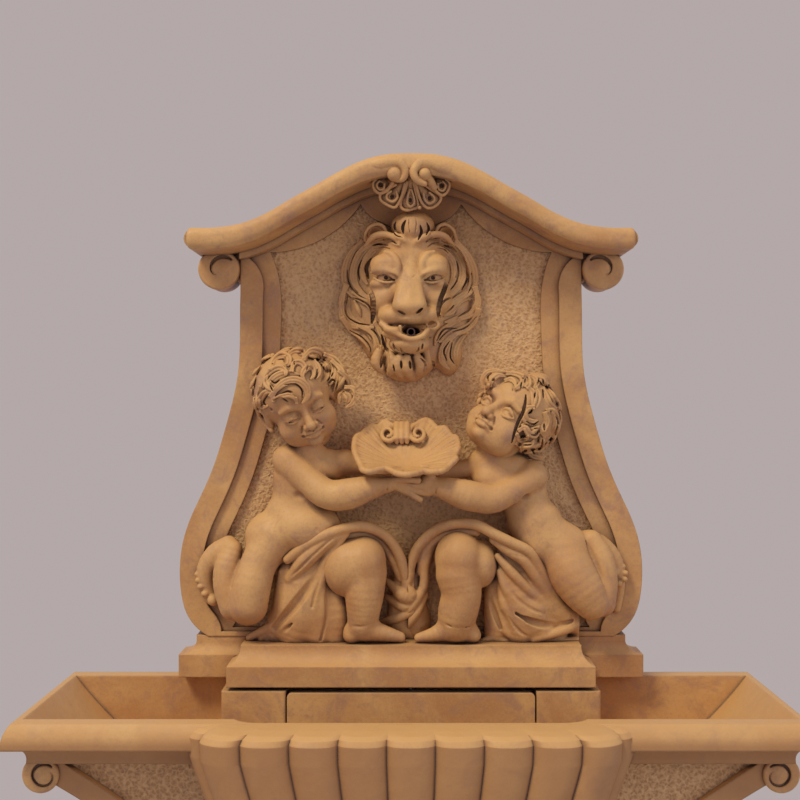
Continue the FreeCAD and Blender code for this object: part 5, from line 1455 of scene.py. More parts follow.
@dataclass(frozen=True)
class Rod:
    """A smooth tapered rod on a drawing: rows of u, v, depth and radius."""

    points: tuple[tuple[float, float, float, float], ...]
    blend: float = 6.0
    cut: bool = False

    def lay(self, clay: Clay, drawing: Drawing) -> None:
        """Adds it to the clay, or cuts it away.

        Args:
            clay: the clay.
            drawing: the drawing that it is on.
        """
        rows = np.array(self.points, float)
        if len(rows) > 2:
            rows = flowing(rows, 3 * len(rows) - 2)
        clay.limb(drawing.line(rows[:, :3]), np.maximum(rows[:, 3], 0.4), self.blend, self.cut)


@dataclass(frozen=True)
class Carving:
    """A figure or cloth that is laid up form by form over a drawing of the picture."""

    name: str
    node: str
    drawing: Drawing
    low: Triple
    high: Triple
    forms: tuple[Ball | Rod, ...]
    cell: float = 2.1
    floor: float = SHELF_Z
    back: float = BEDDED_Y

    def build(self, finish: bpy.types.Material) -> None:
        """Lays all the forms in order, cuts the clay flat behind and below, and casts it.

        Args:
            finish: its material.
        """
        clay = Clay(self.low, self.high, self.cell)
        for form in self.forms:
            form.lay(clay, self.drawing)
        clay.trim(1, self.back)
        clay.trim(2, self.floor, keep_above=True)
        settle(clay.cast(self.name), finish, instead_of=(self.node,))


LEFT = Drawing(180.0, 440.0, 6.533)
RIGHT = Drawing(400.0, 440.0, 6.533)

CHILD_LEFT = Carving("child_left", "putto_left", LEFT, (-386, 32, 748), (34, 176, 1196), (
    Rod(((840, 90, 54, 25), (815, -40, 58, 22))),
    Ball((760, 240, 50), (43, 34, 40), 8),
    Ball((940, 170, 50), (38, 28, 30), 9),
    Ball((1062, 145, 48), (23, 22, 21), 6),
    Ball((780, 350, 46), (49, 34, 40), 10),
    Ball((745, 470, 46), (51, 36, 38), 10),
    Ball((800, 570, 54), (62, 42, 42), 10),
    Ball((610, 630, 42), (52, 40, 46), 10),
    Rod(((600, 640, 50, 37), (505, 800, 62, 31), (455, 950, 70, 33), (432, 1082, 72, 33)), 9),
    Rod(((332, 720, 44, 17), (300, 830, 50, 23), (296, 950, 54, 24), (345, 1080, 56, 27)), 5),
    Rod(((305, 685, 34, 16), (225, 745, 30, 19), (165, 840, 26, 18), (160, 940, 25, 15),
        (190, 1030, 25, 12)), 6),
    Ball((103, 876, 31), (6, 6, 4.6), 2), Ball((108, 916, 33), (6.5, 6.5, 4.8), 2),
    Ball((124, 958, 35), (7, 7, 5.2), 2), Ball((152, 1004, 36), (7.5, 7.5, 5.6), 2),
    Ball((206, 1046, 38), (10.5, 11, 10), 2.5),
    Rod(((215, 800, 56, 2.0), (218, 900, 60, 2.6), (232, 1000, 60, 2.0)), 3, True),
    Rod(((385, 700, 60, 1.5), (352, 830, 76, 2.6), (330, 960, 80, 1.5)), 4, True),
    Ball((690, 125, 60), (26, 27, 25), 7),
    Rod(((700, 150, 66, 25), (820, 262, 78, 24), (930, 345, 88, 25), (1015, 365, 92, 25)), 4),
    Rod(((1005, 362, 92, 25), (1090, 352, 97, 26), (1210, 318, 101, 21), (1300, 298, 102, 15.5),
         (1350, 290, 102, 13.5)), 3),
    Rod(((1341, 255, 112, 1.0), (1345, 290, 118, 1.3), (1341, 330, 110, 1.0)), 2, True),
    Ball((1430, 284, 101), (24, 12, 12), 5),
    Rod(((1380, 268, 106, 7.5), (1450, 256, 113, 6.2), (1515, 262, 115, 5.8), (1540, 264, 115, 6.2)), 2.5),
    Rod(((1420, 300, 104, 7.5), (1490, 316, 106, 6.2), (1556, 322, 104, 5.4)), 2),
    Rod(((1420, 312, 103, 7), (1490, 346, 105, 6), (1556, 388, 103, 5.2)), 1.5),
    Rod(((1060, 145, 48, 20), (1200, 165, 50, 17), (1350, 190, 56, 12)), 6),
    Ball((765, 365, 84), (9, 7, 6), 5, True),
    Rod(((820, 400, 84, 3), (900, 470, 84, 4), (1000, 480, 80, 3)), 5, True),
    Rod(((955, 150, 78, 2), (975, 215, 82, 3.5), (1000, 245, 80, 2)), 4, True),
    Ball((885, 588, 97), (3.5, 5, 3), 4, True),
    Ball((1095, 830, 58), (47, 44, 51), 9),
    Ball((1190, 790, 64), (37, 42, 43), 9),
    Rod(((1200, 870, 66, 36), (1192, 1000, 70, 33), (1186, 1100, 69, 29), (1180, 1200, 66, 25)), 5),
    Rod(((1068, 1000, 94, 1.6), (1062, 940, 100, 2.4), (1095, 890, 106, 2.0),
        (1140, 880, 110, 1.0)), 3, True),
    Rod(((1120, 1250, 62, 17), (1230, 1245, 66, 18), (1340, 1268, 66, 13), (1425, 1288, 62, 9)), 7),
    Ball((1105, 1280, 60), (13, 18, 12), 6),
    Rod(((1080, 1215, 84, 1.2), (1180, 1218, 92, 1.6), (1290, 1195, 88, 1.0)), 3, True),
))

CHILD_RIGHT = Carving("child_right", "putto_right", RIGHT, (-34, 32, 748), (386, 176, 1196), (
    Rod(((600, 110, 52, 27), (575, 10, 58, 23), (560, -60, 60, 21))),
    Ball((650, 200, 50), (52, 34, 36), 9),
    Ball((515, 165, 46), (22, 24, 28), 8),
    Ball((565, 270, 66), (26, 22, 24), 12),
    Ball((700, 285, 64), (34, 23, 24), 12),
    Ball((800, 370, 46), (40, 34, 46), 10),
    Ball((865, 530, 46), (46, 36, 42), 10),
    Ball((930, 650, 46), (52, 38, 44), 10),
    Ball((1060, 720, 46), (43, 36, 46), 10),
    Rod(((1055, 740, 54, 38), (1110, 870, 66, 40), (1180, 980, 72, 36), (1238, 1066, 74, 28)), 9),
    Rod(((1235, 655, 44, 18), (1300, 780, 50, 22), (1325, 930, 54, 22), (1300, 1060, 56, 25)), 5),
    Rod(((1200, 650, 34, 16), (1280, 690, 31, 20), (1365, 770, 28, 18), (1405, 870, 26, 14),
         (1420, 980, 22, 9), (1400, 1100, 20, 8)), 6),
    Ball((1440, 826, 32), (6, 6, 5), 2), Ball((1456, 868, 34), (6, 6.5, 5), 2),
    Ball((1450, 908, 35), (6.5, 7, 5), 2), Ball((1412, 936, 36), (7, 7.5, 6), 2),
    Ball((1395, 862, 40), (7, 7.5, 7), 2),
    Rod(((1190, 660, 60, 1.5), (1265, 790, 72, 2.8), (1300, 930, 78, 1.5)), 4, True),
    Rod(((1372, 820, 56, 1.6), (1382, 920, 58, 2.2), (1378, 1020, 56, 1.6)), 3, True),
    Ball((850, 230, 62), (26, 27, 25), 7),
    Rod(((850, 240, 66, 25), (720, 325, 80, 23), (610, 380, 90, 24), (540, 385, 93, 24)), 4),
    Rod(((550, 385, 93, 24), (430, 362, 98, 25.5), (320, 330, 101, 21.5), (235, 305, 102, 15)), 3),
    Rod(((222, 250, 112, 1.0), (217, 300, 118, 1.3), (224, 350, 110, 1.0)), 2, True),
    Ball((170, 290, 102), (16, 12, 20), 5),
    Rod(((190, 230, 107, 8), (172, 190, 112, 6.6), (132, 180, 114, 5.6)), 2.5),
    Rod(((150, 340, 103, 7), (90, 330, 106, 6), (40, 318, 105, 5.2)), 1.5),
    Rod(((150, 300, 106, 7), (90, 296, 108, 6), (45, 290, 106, 5.2)), 1.5),
    Rod(((515, 175, 46, 18), (380, 195, 50, 15), (250, 215, 56, 12)), 6),
    Ball((805, 372, 84), (9, 7, 6), 5, True),
    Rod(((760, 395, 84, 3), (680, 450, 84, 4), (560, 480, 80, 3)), 5, True),
    Ball((372, 770, 62), (41, 44, 47), 9),
    Ball((515, 810, 50), (28, 38, 40), 8),
    Rod(((368, 880, 68, 38), (388, 1000, 70, 34), (368, 1110, 68, 34), (350, 1200, 64, 30)), 5),
    Rod(((512, 850, 92, 1.6), (470, 872, 104, 2.4), (380, 880, 108, 1.2)), 3, True),
    Rod(((430, 1250, 62, 18), (300, 1245, 66, 18), (200, 1272, 66, 12), (110, 1292, 62, 8)), 7),
    Ball((470, 1275, 60), (12, 18, 12), 6),
    Rod(((470, 1220, 84, 1.2), (360, 1222, 92, 1.6), (240, 1195, 88, 1.0)), 3, True),
))

CLOTH_LEFT = Carving("cloth_left", "drapery_left", LEFT, (-286, 60, 748), (6, 176, 976), (
    Rod(((705, 850, 44, 20), (700, 1000, 42, 25), (680, 1140, 38, 28), (610, 1250, 32, 22),
        (500, 1295, 28, 13)), 12),
    Rod(((800, 745, 50, 19), (800, 880, 46, 27), (790, 1040, 44, 32), (770, 1180, 40, 34),
        (740, 1280, 36, 28)), 12),
    Rod(((950, 670, 56, 15), (892, 800, 52, 22), (882, 960, 50, 24), (890, 1120, 46, 26),
        (890, 1260, 42, 25)), 12),
    Rod(((1000, 1010, 42, 19), (1010, 1150, 42, 24), (1010, 1275, 40, 21)), 12),
    Rod(((1440, 800, 22, 12), (1450, 1000, 22, 20), (1440, 1180, 12, 26), (1500, 1250, 10, 22)), 8),
    Rod(((1060, 600, 78, 10), (930, 672, 78, 14), (800, 790, 72, 15), (705, 905, 62, 9)), 3),
    Rod(((1060, 625, 80, 6), (960, 760, 74, 9), (870, 900, 66, 10), (750, 1050, 62, 10), (640, 1180, 54, 9),
         (440, 1292, 40, 6)), 3),
    Rod(((970, 760, 74, 6), (905, 930, 70, 9), (868, 1090, 64, 9), (800, 1225, 58, 9),
        (735, 1310, 50, 6)), 3),
    Rod(((925, 830, 70, 5), (912, 1000, 68, 7), (915, 1150, 64, 8), (880, 1305, 56, 7)), 2),
    Rod(((925, 1010, 60, 4), (965, 1140, 58, 7), (985, 1305, 52, 8)), 2),
    Rod(((1010, 1040, 52, 5), (1030, 1160, 54, 6), (1045, 1300, 50, 6)), 2),
    Rod(((620, 1130, 52, 6), (600, 1210, 48, 8), (520, 1290, 42, 7)), 3),
    Rod(((650, 860, 56, 6), (640, 980, 52, 8), (625, 1120, 50, 7)), 4),
    Rod(((985, 640, 92, 2.0), (840, 770, 90, 3.0), (712, 895, 76, 2.4)), 1.5, True),
    Rod(((905, 790, 84, 3.0), (845, 930, 78, 6.5), (735, 1080, 72, 8.5), (600, 1230, 60, 6.0)), 3, True),
    Rod(((900, 900, 80, 1.8), (868, 1000, 76, 2.8), (848, 1090, 74, 2.0)), 1.5, True),
    Rod(((940, 1010, 72, 1.8), (945, 1150, 70, 2.8), (905, 1310, 64, 2.4)), 1.5, True),
    Rod(((740, 1180, 70, 2.0), (640, 1270, 65, 4.0), (560, 1320, 58, 3.0)), 2, True),
    Rod(((790, 1260, 62, 2.0), (750, 1320, 58, 3.5)), 2, True),
    Rod(((690, 780, 72, 8), (800, 692, 80, 9), (920, 628, 86, 9), (1060, 578, 84, 9), (1200, 566, 76, 9),
         (1330, 628, 64, 9), (1415, 745, 52, 9), (1462, 880, 44, 9), (1470, 960, 42, 9)), 2.5),
    Rod(((1060, 622, 64, 9), (1200, 612, 60, 10), (1310, 672, 50, 10), (1385, 790, 40, 9),
        (1432, 900, 36, 8)), 3),
    Rod(((1345, 925, 22, 6), (1400, 975, 38, 9), (1440, 1012, 46, 12), (1490, 1030, 44, 10),
        (1550, 1000, 40, 8)), 3),
    Rod(((1345, 1030, 22, 6), (1400, 1060, 36, 8), (1450, 1088, 42, 9), (1530, 1080, 38, 8)), 3),
    Rod(((1560, 660, 30, 5), (1505, 780, 34, 7), (1500, 920, 38, 7), (1540, 1010, 38, 6)), 3),
    Rod(((1320, 1185, 20, 6), (1380, 1170, 34, 8), (1440, 1150, 40, 8), (1550, 1090, 38, 8)), 3),
    Rod(((1475, 780, 50, 2.0), (1488, 880, 52, 3.0), (1450, 950, 54, 2.0)), 1.5, True),
    Rod(((1425, 965, 62, 1.6), (1480, 990, 60, 2.0)), 1.5, True),
    Rod(((1400, 1110, 54, 2.4), (1480, 1115, 52, 3.0), (1560, 1060, 48, 2.4)), 2, True),
), 1.6)

CLOTH_RIGHT = Carving("cloth_right", "drapery_right", RIGHT, (-6, 60, 748), (288, 176, 976), (
    Rod(((680, 730, 50, 17), (710, 920, 46, 26), (760, 1070, 44, 32), (780, 1200, 38, 32),
        (760, 1290, 34, 22)), 12),
    Rod(((800, 770, 50, 18), (880, 900, 46, 26), (955, 1030, 42, 26), (1050, 1140, 36, 24),
        (1150, 1210, 30, 18)), 12),
    Rod(((860, 1100, 42, 30), (900, 1220, 36, 28), (1010, 1280, 30, 17)), 12),
    Rod(((600, 950, 36, 16), (610, 1060, 38, 20), (620, 1200, 36, 22), (600, 1300, 30, 16)), 12),
    Rod(((70, 820, 22, 12), (60, 1000, 22, 20), (90, 1180, 12, 26), (60, 1260, 10, 20)), 8),
    Rod(((118, 860, 34, 8), (150, 730, 42, 10), (230, 640, 50, 10), (350, 600, 60, 10),
        (480, 596, 68, 9)), 3),
    Rod(((600, 650, 74, 8), (700, 720, 76, 10), (800, 790, 74, 10), (900, 930, 66, 10),
        (1010, 1070, 56, 8)), 3),
    Rod(((625, 760, 68, 6), (730, 880, 70, 9), (850, 1000, 64, 9), (970, 1090, 56, 8),
        (1080, 1160, 48, 7)), 3),
    Rod(((635, 860, 62, 6), (690, 990, 64, 9), (790, 1100, 60, 9), (930, 1170, 54, 8),
        (1090, 1195, 46, 6)), 3),
    Rod(((640, 960, 56, 6), (675, 1090, 60, 9), (770, 1210, 58, 9), (880, 1290, 52, 7)), 3),
    Rod(((860, 1300, 54, 7), (990, 1262, 54, 8), (1110, 1220, 48, 8), (1215, 1160, 40, 5)), 3),
    Rod(((1215, 1160, 40, 5), (1212, 1240, 38, 6), (1150, 1300, 38, 6), (980, 1318, 42, 6)), 3),
    Rod(((650, 1130, 52, 6), (680, 1240, 52, 8), (760, 1310, 48, 7)), 3),
    Rod(((560, 1050, 44, 5), (600, 1170, 46, 7), (620, 1290, 42, 8)), 3),
    Rod(((520, 1322, 42, 5), (600, 1290, 44, 7), (700, 1318, 44, 6), (850, 1325, 44, 5)), 3),
    Rod(((560, 655, 88, 1.8), (670, 735, 90, 3.0), (795, 765, 86, 2.2)), 1.5, True),
    Rod(((640, 745, 80, 2.0), (760, 860, 82, 3.2), (880, 960, 80, 4.5), (1000, 1120, 71, 4.0)), 2, True),
    Rod(((650, 860, 74, 2.0), (720, 1000, 77, 3.4), (840, 1100, 75, 3.4), (960, 1150, 69, 2.0)), 2, True),
    Rod(((750, 1130, 70, 4.0), (860, 1188, 68, 6.5), (1000, 1216, 62, 6.0), (1110, 1182, 54, 3.5)), 2, True),
    Rod(((690, 1160, 70, 2.0), (780, 1262, 68, 3.2), (860, 1300, 66, 2.4)), 2, True),
    Rod(((900, 1300, 66, 2.0), (1060, 1262, 64, 3.0), (1180, 1200, 57, 2.4)), 1.5, True),
    Rod(((545, 960, 60, 3.0), (590, 1090, 58, 5.0), (645, 1230, 56, 3.0)), 3, True),
    Rod(((45, 915, 42, 8), (62, 800, 44, 8.5), (112, 690, 50, 9), (220, 590, 60, 9), (350, 548, 72, 9),
         (480, 552, 82, 9), (600, 612, 86, 9), (720, 672, 84, 9), (830, 728, 78, 9), (890, 820, 70, 9),
         (960, 940, 62, 9), (1030, 1060, 52, 8)), 2.5),
    Rod(((300, 610, 52, 6), (200, 690, 44, 8), (150, 820, 42, 8), (140, 960, 42, 8), (70, 1080, 42, 8),
         (0, 1140, 40, 8)), 3),
    Rod(((50, 880, 42, 8), (20, 950, 44, 9), (60, 1010, 44, 11), (20, 1050, 42, 9)), 3),
    Rod(((150, 1010, 36, 6), (100, 1120, 38, 8), (40, 1190, 36, 9), (0, 1230, 34, 8)), 3),
    Rod(((230, 640, 66, 1.8), (165, 740, 56, 2.8), (135, 900, 54, 2.4), (100, 1000, 54, 2.0)), 1.5, True),
    Rod(((95, 790, 52, 1.6), (80, 900, 54, 2.6), (110, 960, 54, 1.8)), 1.5, True),
), 1.6)


@dataclass
class Dish:
    """The scallop dish: a wavy rim on a leaning plane, a ribbed bowl, and a hinge between two scrolls."""

    rim: tuple[tuple[float, float, float], ...] = (
        (352, 447, 0), (354, 439, 3), (360, 433, -2), (368, 428.5, 3), (376, 426, -2), (383, 423.6, 3),
        (392, 426.5, -1), (401, 425, 0), (411, 426.5, -1), (419, 423.4, 3), (427, 422.6, 3), (435, 427.5, -2),
        (443, 430, 3), (449, 435, -2), (454.5, 440, 3), (456.5, 448, 1), (452.5, 454, -3), (453.5, 461, 3),
        (446, 465, -3), (440.5, 472.5, 3), (431, 470, -4), (421, 469.5, -3), (412, 475.5, 3), (403, 476.5, 3),
        (394, 472.5, -1), (385, 466.5, -4), (377, 469, -1), (368, 473.5, 3), (361, 470.5, 1),
        (358.5, 463, -3), (353.5, 456, 2))
    middle: tuple[float, float] = (403.0, 451.0)
    back_row: float = 422.0
    front_row: float = 476.0
    back_proud: float = 24.0
    front_proud: float = 146.0
    sink: float = 25.0
    wall: float = 4.6
    ribs: int = 84
    cell: float = 1.4

    def plane(self, px: Array, py: Array) -> Array:
        """The rim plane's places behind picture points: the lower in the picture, the further in front.

        Args:
            px: picture columns.
            py: picture rows.

        Returns:
            One place for each.
        """
        share = (py - self.back_row) / (self.front_row - self.back_row)
        proud = self.back_proud + share * (self.front_proud - self.back_proud)
        return np.array([seen(x, y, p) for x, y, p in zip(px, py, proud)])

    def build(self, finish: bpy.types.Material) -> None:
        """Lays the ribs, the rim, the scrolls and the hinge in clay and casts them.

        Args:
            finish: its material.
        """
        clay = Clay((-112, 8, 1022), (98, 160, 1150), self.cell)
        knots = np.array(self.rim, float)
        closed = np.vstack([knots, knots[:1]])
        edge = flowing(closed, self.ribs + 1)
        outer = self.plane(edge[:, 0], edge[:, 1])
        outer[:, 2] += edge[:, 2]
        centre = self.plane(np.array([self.middle[0]]), np.array([self.middle[1]]))[0]
        t = np.linspace(0, 1, 8)
        paths, radii = [], []
        for k, start in enumerate(outer[:-1]):
            path = start + (centre - start) * t[:, None]
            path[:, 2] -= self.sink * np.sin(0.5 * math.pi * t) ** 1.3
            path[:, 2] -= (1.0 - t) ** 2 * t * 3.0 * edge[k, 2]
            ridge = 1.0 if k % 3 else 0.72
            paths.append(path)
            radii.append(np.full(len(t), self.wall * ridge))
        clay.strands(paths, radii, 2.0)
        clay.limb(outer, 4.9, 3.0)
        self.hinge(clay)
        settle(clay.cast("dish_carving"), finish, instead_of=("shell_dish",))

    def hinge(self, clay: Clay) -> None:
        """The ribbed tongue at the back and the scroll on each side of it.

        Args:
            clay: the dish's clay.
        """

        def spot(px: float, py: float, out: float) -> Array:
            """A place in front of the rim plane, behind a picture point."""
            return self.plane(np.array([px]), np.array([py]))[0] + (0, -out, 0)

        for column in (394.6, 399.8, 405.0):
            clay.limb([spot(column, 423.5, 0), spot(column, 424.5, 9), spot(column, 431, 12),
                       spot(column, 438, 6), spot(column, 442, -4)], [5.0, 5.6, 5.6, 5.2, 4.0], 1.6)
        steps = 22
        turn = np.linspace(0, 1.5 * 2 * math.pi, steps)
        size = np.linspace(9.5, 2.6, steps)
        for side in (-1.0, 1.0):
            middle = (401.0 + side * 15.0, 433.5)
            ring = [spot(middle[0] + side * -size[k] * math.sin(turn[k]),
                         middle[1] - size[k] * math.cos(turn[k]), 3 + 0.5 * k) for k in range(steps)]
            clay.limb(ring, np.linspace(4.4, 2.8, steps), 1.5)


HEADS = (
    ChildHead("head_left", (295.5, 401.0, 66.0), (18.0, 8.0, -25.0), 0.85, 11, Drawing(235.0, 330.0, 9.8), (
        Tress(14, 3, ((300, 600), (325, 520), (400, 450), (500, 425), (610, 440)), 3),
        Tress(12, 2, ((250, 560), (280, 470), (340, 400), (420, 370), (480, 405), (465, 465)), 4),
        Tress(12, 2, ((330, 385), (358, 300), (430, 245), (505, 268), (505, 335), (450, 352)), 4),
        Tress(12, 2, ((480, 265), (560, 205), (642, 213), (662, 278), (610, 315)), 4),
        Tress(11, 2, ((535, 405), (558, 330), (620, 318), (664, 370), (640, 432)), 4),
        Tress(12, 2, ((655, 265), (728, 200), (820, 218), (852, 282), (800, 315)), 4),
        Tress(11, 2, ((860, 240), (940, 275), (1000, 335), (1050, 405)), 3),
        Tress(11, 2, ((655, 505), (642, 430), (690, 368), (742, 378), (752, 440), (722, 482)), 4),
        Tress(10, 2, ((755, 300), (790, 350), (802, 420), (775, 482)), 4),
        Tress(11, 2, ((818, 300), (868, 350), (886, 430), (850, 512)), 4),
        Tress(11, 2, ((880, 280), (940, 340), (952, 430), (915, 512), (878, 545)), 4),
        Tress(12, 2, ((930, 300), (1010, 378), (1032, 460), (990, 540), (948, 615)), 4),
        Tress(12, 2, ((1000, 400), (1082, 470), (1108, 540), (1062, 592), (1008, 650), (1000, 722)), 5),
        Tress(11, 2, ((1060, 560), (1135, 570), (1172, 640), (1130, 722), (1065, 760)), 4),
        Tress(16, 2, ((1040, 610), (1090, 660), (1080, 720)), 0),
        Tress(12, 2, ((335, 600), (270, 618), (232, 690), (248, 752), (300, 745)), 4),
        Tress(10, 2, ((232, 555), (212, 640), (208, 720), (232, 785)), 3),
        Tress(11, 2, ((382, 602), (312, 560), (280, 500), (302, 440)), 3),
        Tress(15, 3, ((335, 655), (395, 568), (492, 502), (602, 500), (682, 565), (690, 650), (640, 718)), 5),
        Tress(10, 2, ((345, 688), (430, 652), (512, 636), (568, 668), (586, 722)), 5, 0.5),
    ), (
        Groove(1.7, 8, ((425, 625), (510, 603), (578, 655))),
        Groove(1.3, 7, ((465, 538), (570, 528), (634, 585), (638, 670))),
        Groove(1.5, 7, ((352, 692), (430, 668), (500, 702))),
        Groove(1.3, 7, ((786, 378), (782, 440), (760, 480))),
        Groove(1.4, 7, ((852, 348), (846, 430), (824, 508))),
        Groove(1.8, 8, ((880, 532), (930, 490), (962, 500))),
        Groove(1.5, 8, ((996, 468), (976, 560), (950, 625))),
        Groove(1.3, 6, ((396, 292), (455, 290), (472, 368))),
        Groove(1.3, 6, ((330, 492), (372, 520), (420, 490))), Groove(1.0, 5, ((480, 340), (505, 400))),
        Groove(2.0, 9, ((1052, 598), (1028, 640), (1062, 692))), Groove(1.1, 5, ((942, 418), (922, 462))),
        Groove(1.1, 5, ((862, 296), (902, 312))), Groove(1.1, 5, ((560, 300), (562, 345))),
        Groove(1.1, 5, ((700, 325), (682, 400))), Groove(1.2, 6, ((322, 540), (352, 600))),
        Groove(1.4, 6, ((300, 640), (262, 700), (282, 740))), Groove(1.2, 5, ((600, 240), (640, 262))),
    ), (
        (332, 780, 3.4), (470, 462, 2.0), (640, 250, 1.8), (672, 440, 1.8), (905, 540, 2.6), (350, 330, 1.6),
    ), (
        Ball((430, 330, 46), (20, 22, 14), 8),
        Ball((300, 560, 44), (12, 22, 20), 8),
        Ball((1010, 480, 56), (14, 22, 24), 8),
    )),
    ChildHead("head_right", (508.5, 420.0, 62.0), (-14.0, -38.0, 32.0), 0.0, 5, Drawing(455.0, 350.0, 11.2), (
        Tress(12, 3, ((300, 425), (290, 340), (340, 262), (430, 238), (540, 246)), 5),
        Tress(9, 2, ((372, 402), (402, 330), (470, 282), (540, 300)), 4),
        Tress(12, 2, ((560, 262), (642, 268), (722, 300), (742, 360), (690, 412), (640, 442)), 5),
        Tress(10, 2, ((540, 342), (602, 328), (642, 370), (640, 432)), 5),
        Tress(10, 2, ((742, 290), (792, 320), (802, 388), (760, 412)), 4),
        Tress(10, 2, ((820, 288), (872, 320), (892, 380), (860, 412)), 4),
        Tress(10, 2, ((900, 308), (962, 340), (982, 402)), 3),
        Tress(12, 2, ((800, 420), (852, 480), (862, 560), (842, 642)), 3),
        Tress(11, 2, ((880, 420), (912, 500), (902, 580), (880, 662)), 3),
        Tress(12, 2, ((960, 430), (992, 500), (1012, 560), (1052, 622), (1120, 652)), 3),
        Tress(11, 2, ((1000, 420), (1062, 500), (1102, 580), (1142, 652)), 3),
        Tress(13, 2, ((862, 642), (790, 650), (750, 710), (772, 782), (842, 802), (902, 790)), 5),
        Tress(11, 2, ((740, 832), (792, 900), (862, 892), (922, 850)), 5),
        Tress(11, 2, ((690, 902), (762, 870), (802, 930), (872, 962), (922, 930)), 5),
        Tress(10, 2, ((668, 942), (700, 1002), (762, 1002), (802, 962)), 5),
        Tress(10, 2, ((660, 1042), (722, 1072), (822, 1062), (862, 1002)), 5),
        Tress(11, 2, ((722, 1082), (732, 1150), (792, 1190), (872, 1200)), 3),
        Tress(10, 2, ((802, 1110), (832, 1180), (922, 1210), (992, 1190)), 3),
        Tress(12, 2, ((942, 950), (952, 1040), (912, 1110), (870, 1132)), 4),
        Tress(13, 3, ((982, 700), (1002, 800), (962, 900), (982, 982)), 4),
        Tress(13, 3, ((1062, 700), (1082, 800), (1062, 900), (1092, 1002)), 3),
        Tress(11, 2, ((1000, 682), (1062, 680), (1112, 742), (1132, 852)), 3),
        Tress(11, 2, ((1132, 660), (1142, 760), (1152, 862)), 2),
        Tress(8, 1, ((318, 470), (338, 430), (352, 392)), 4, 0.7),
        Tress(7, 1, ((252, 540), (262, 508), (285, 484)), 5, 0.7),
        Tress(8, 1, ((238, 598), (252, 572), (262, 552)), 5, 0.7),
    ), (
        Groove(3.0, 12, ((772, 505), (765, 600), (742, 690), (690, 800), (640, 930), (612, 1040))),
        Groove(1.4, 7, ((352, 355), (350, 290), (388, 262))),
        Groove(1.5, 7, ((602, 358), (632, 400), (625, 455))),
        Groove(1.2, 6, ((722, 358), (714, 435))), Groove(1.2, 6, ((766, 318), (760, 372))),
        Groove(1.3, 6, ((918, 318), (905, 392))), Groove(1.3, 6, ((962, 328), (968, 385))),
        Groove(1.8, 8, ((845, 655), (832, 690), (795, 715))),
        Groove(1.7, 8, ((775, 800), (850, 832), (912, 798))),
        Groove(1.7, 8, ((828, 950), (880, 950), (908, 918))),
        Groove(1.6, 7, ((700, 992), (740, 968), (785, 985))),
        Groove(1.5, 7, ((742, 1065), (835, 1062))), Groove(1.6, 7, ((840, 1110), (862, 1165))),
        Groove(1.8, 8, ((962, 1000), (942, 1080), (912, 1118))), Groove(1.8, 8, ((974, 828), (982, 902))),
        Groove(1.3, 6, ((880, 460), (868, 540))), Groove(1.3, 6, ((960, 440), (968, 540))),
        Groove(1.2, 6, ((860, 880), (920, 880))), Groove(1.3, 6, ((1100, 740), (1135, 830))),
    ), (
        (410, 335, 3.0), (1052, 692, 2.2), (1035, 972, 2.2), (1030, 395, 1.8), (820, 690, 3.0),
        (330, 440, 1.6),
    ), (
        Ball((400, 360, 72), (14, 20, 14), 6),
        Ball((480, 300, 70), (16, 20, 12), 6),
        Ball((640, 330, 66), (26, 24, 14), 8),
        Ball((900, 330, 50), (20, 24, 12), 8),
    ), True, ((0, 24, -44), (31, 32, 30))),
)


@dataclass(frozen=True)
class Volute:
    """A rolled end seen from the front: a round boss with a groove that winds in around an off-centre disc.

    The boss covers the solid's own roll with COVER of clay.
    """

    COVER = 1.4

    name: str
    centre: Triple
    radius: float
    hand: float
    proud: float
    turns: float
    neck: tuple[tuple[float, float, float, float], ...]

    def build(self, finish: bpy.types.Material) -> None:
        """Models the boss over the solid's own roll, with the neck that joins it to its band.

        Args:
            finish: its material.
        """
        x, front, z = self.centre
        size = self.radius + self.COVER
        wide = size + (20 if self.neck else 5)
        clay = Clay((x - wide, front - self.proud - 7, z - size - 5),
                    (x + wide, front + 34, z + size + 5), 0.9)
        clay.roll((x, front - self.proud, z), size, front + 15.0, 4.0)
        for k in range(len(self.neck) - 1):
            rows = np.array(self.neck[k:k + 2])
            clay.limb(rows[:, :3] * (self.hand, 1, 1) + self.centre, rows[:, 3], 5)
        eye = (x + self.hand * 0.20 * self.radius, front - self.proud + 9.0, z - 0.02 * self.radius)
        clay.egg(eye, (0.60 * self.radius, 11.5, 0.60 * self.radius), 3)
        steps = 26
        t = np.linspace(0, 1, steps)
        angle = np.radians(48.0 + 360.0 * self.turns * t)
        reach = self.radius * (0.66 - 0.08 * t - 0.18 * t ** 6)
        path = np.stack([eye[0] + self.hand * reach * np.cos(angle), np.full(steps, front - self.proud),
                         eye[2] + reach * np.sin(angle)], -1)
        fade = np.sin(np.pi * np.linspace(0.03, 0.98, steps) ** 0.62) ** 0.8
        clay.score(path, 0.088 * self.radius * fade, 7.5 * fade, 2.6)
        settle(clay.cast(self.name), finish)


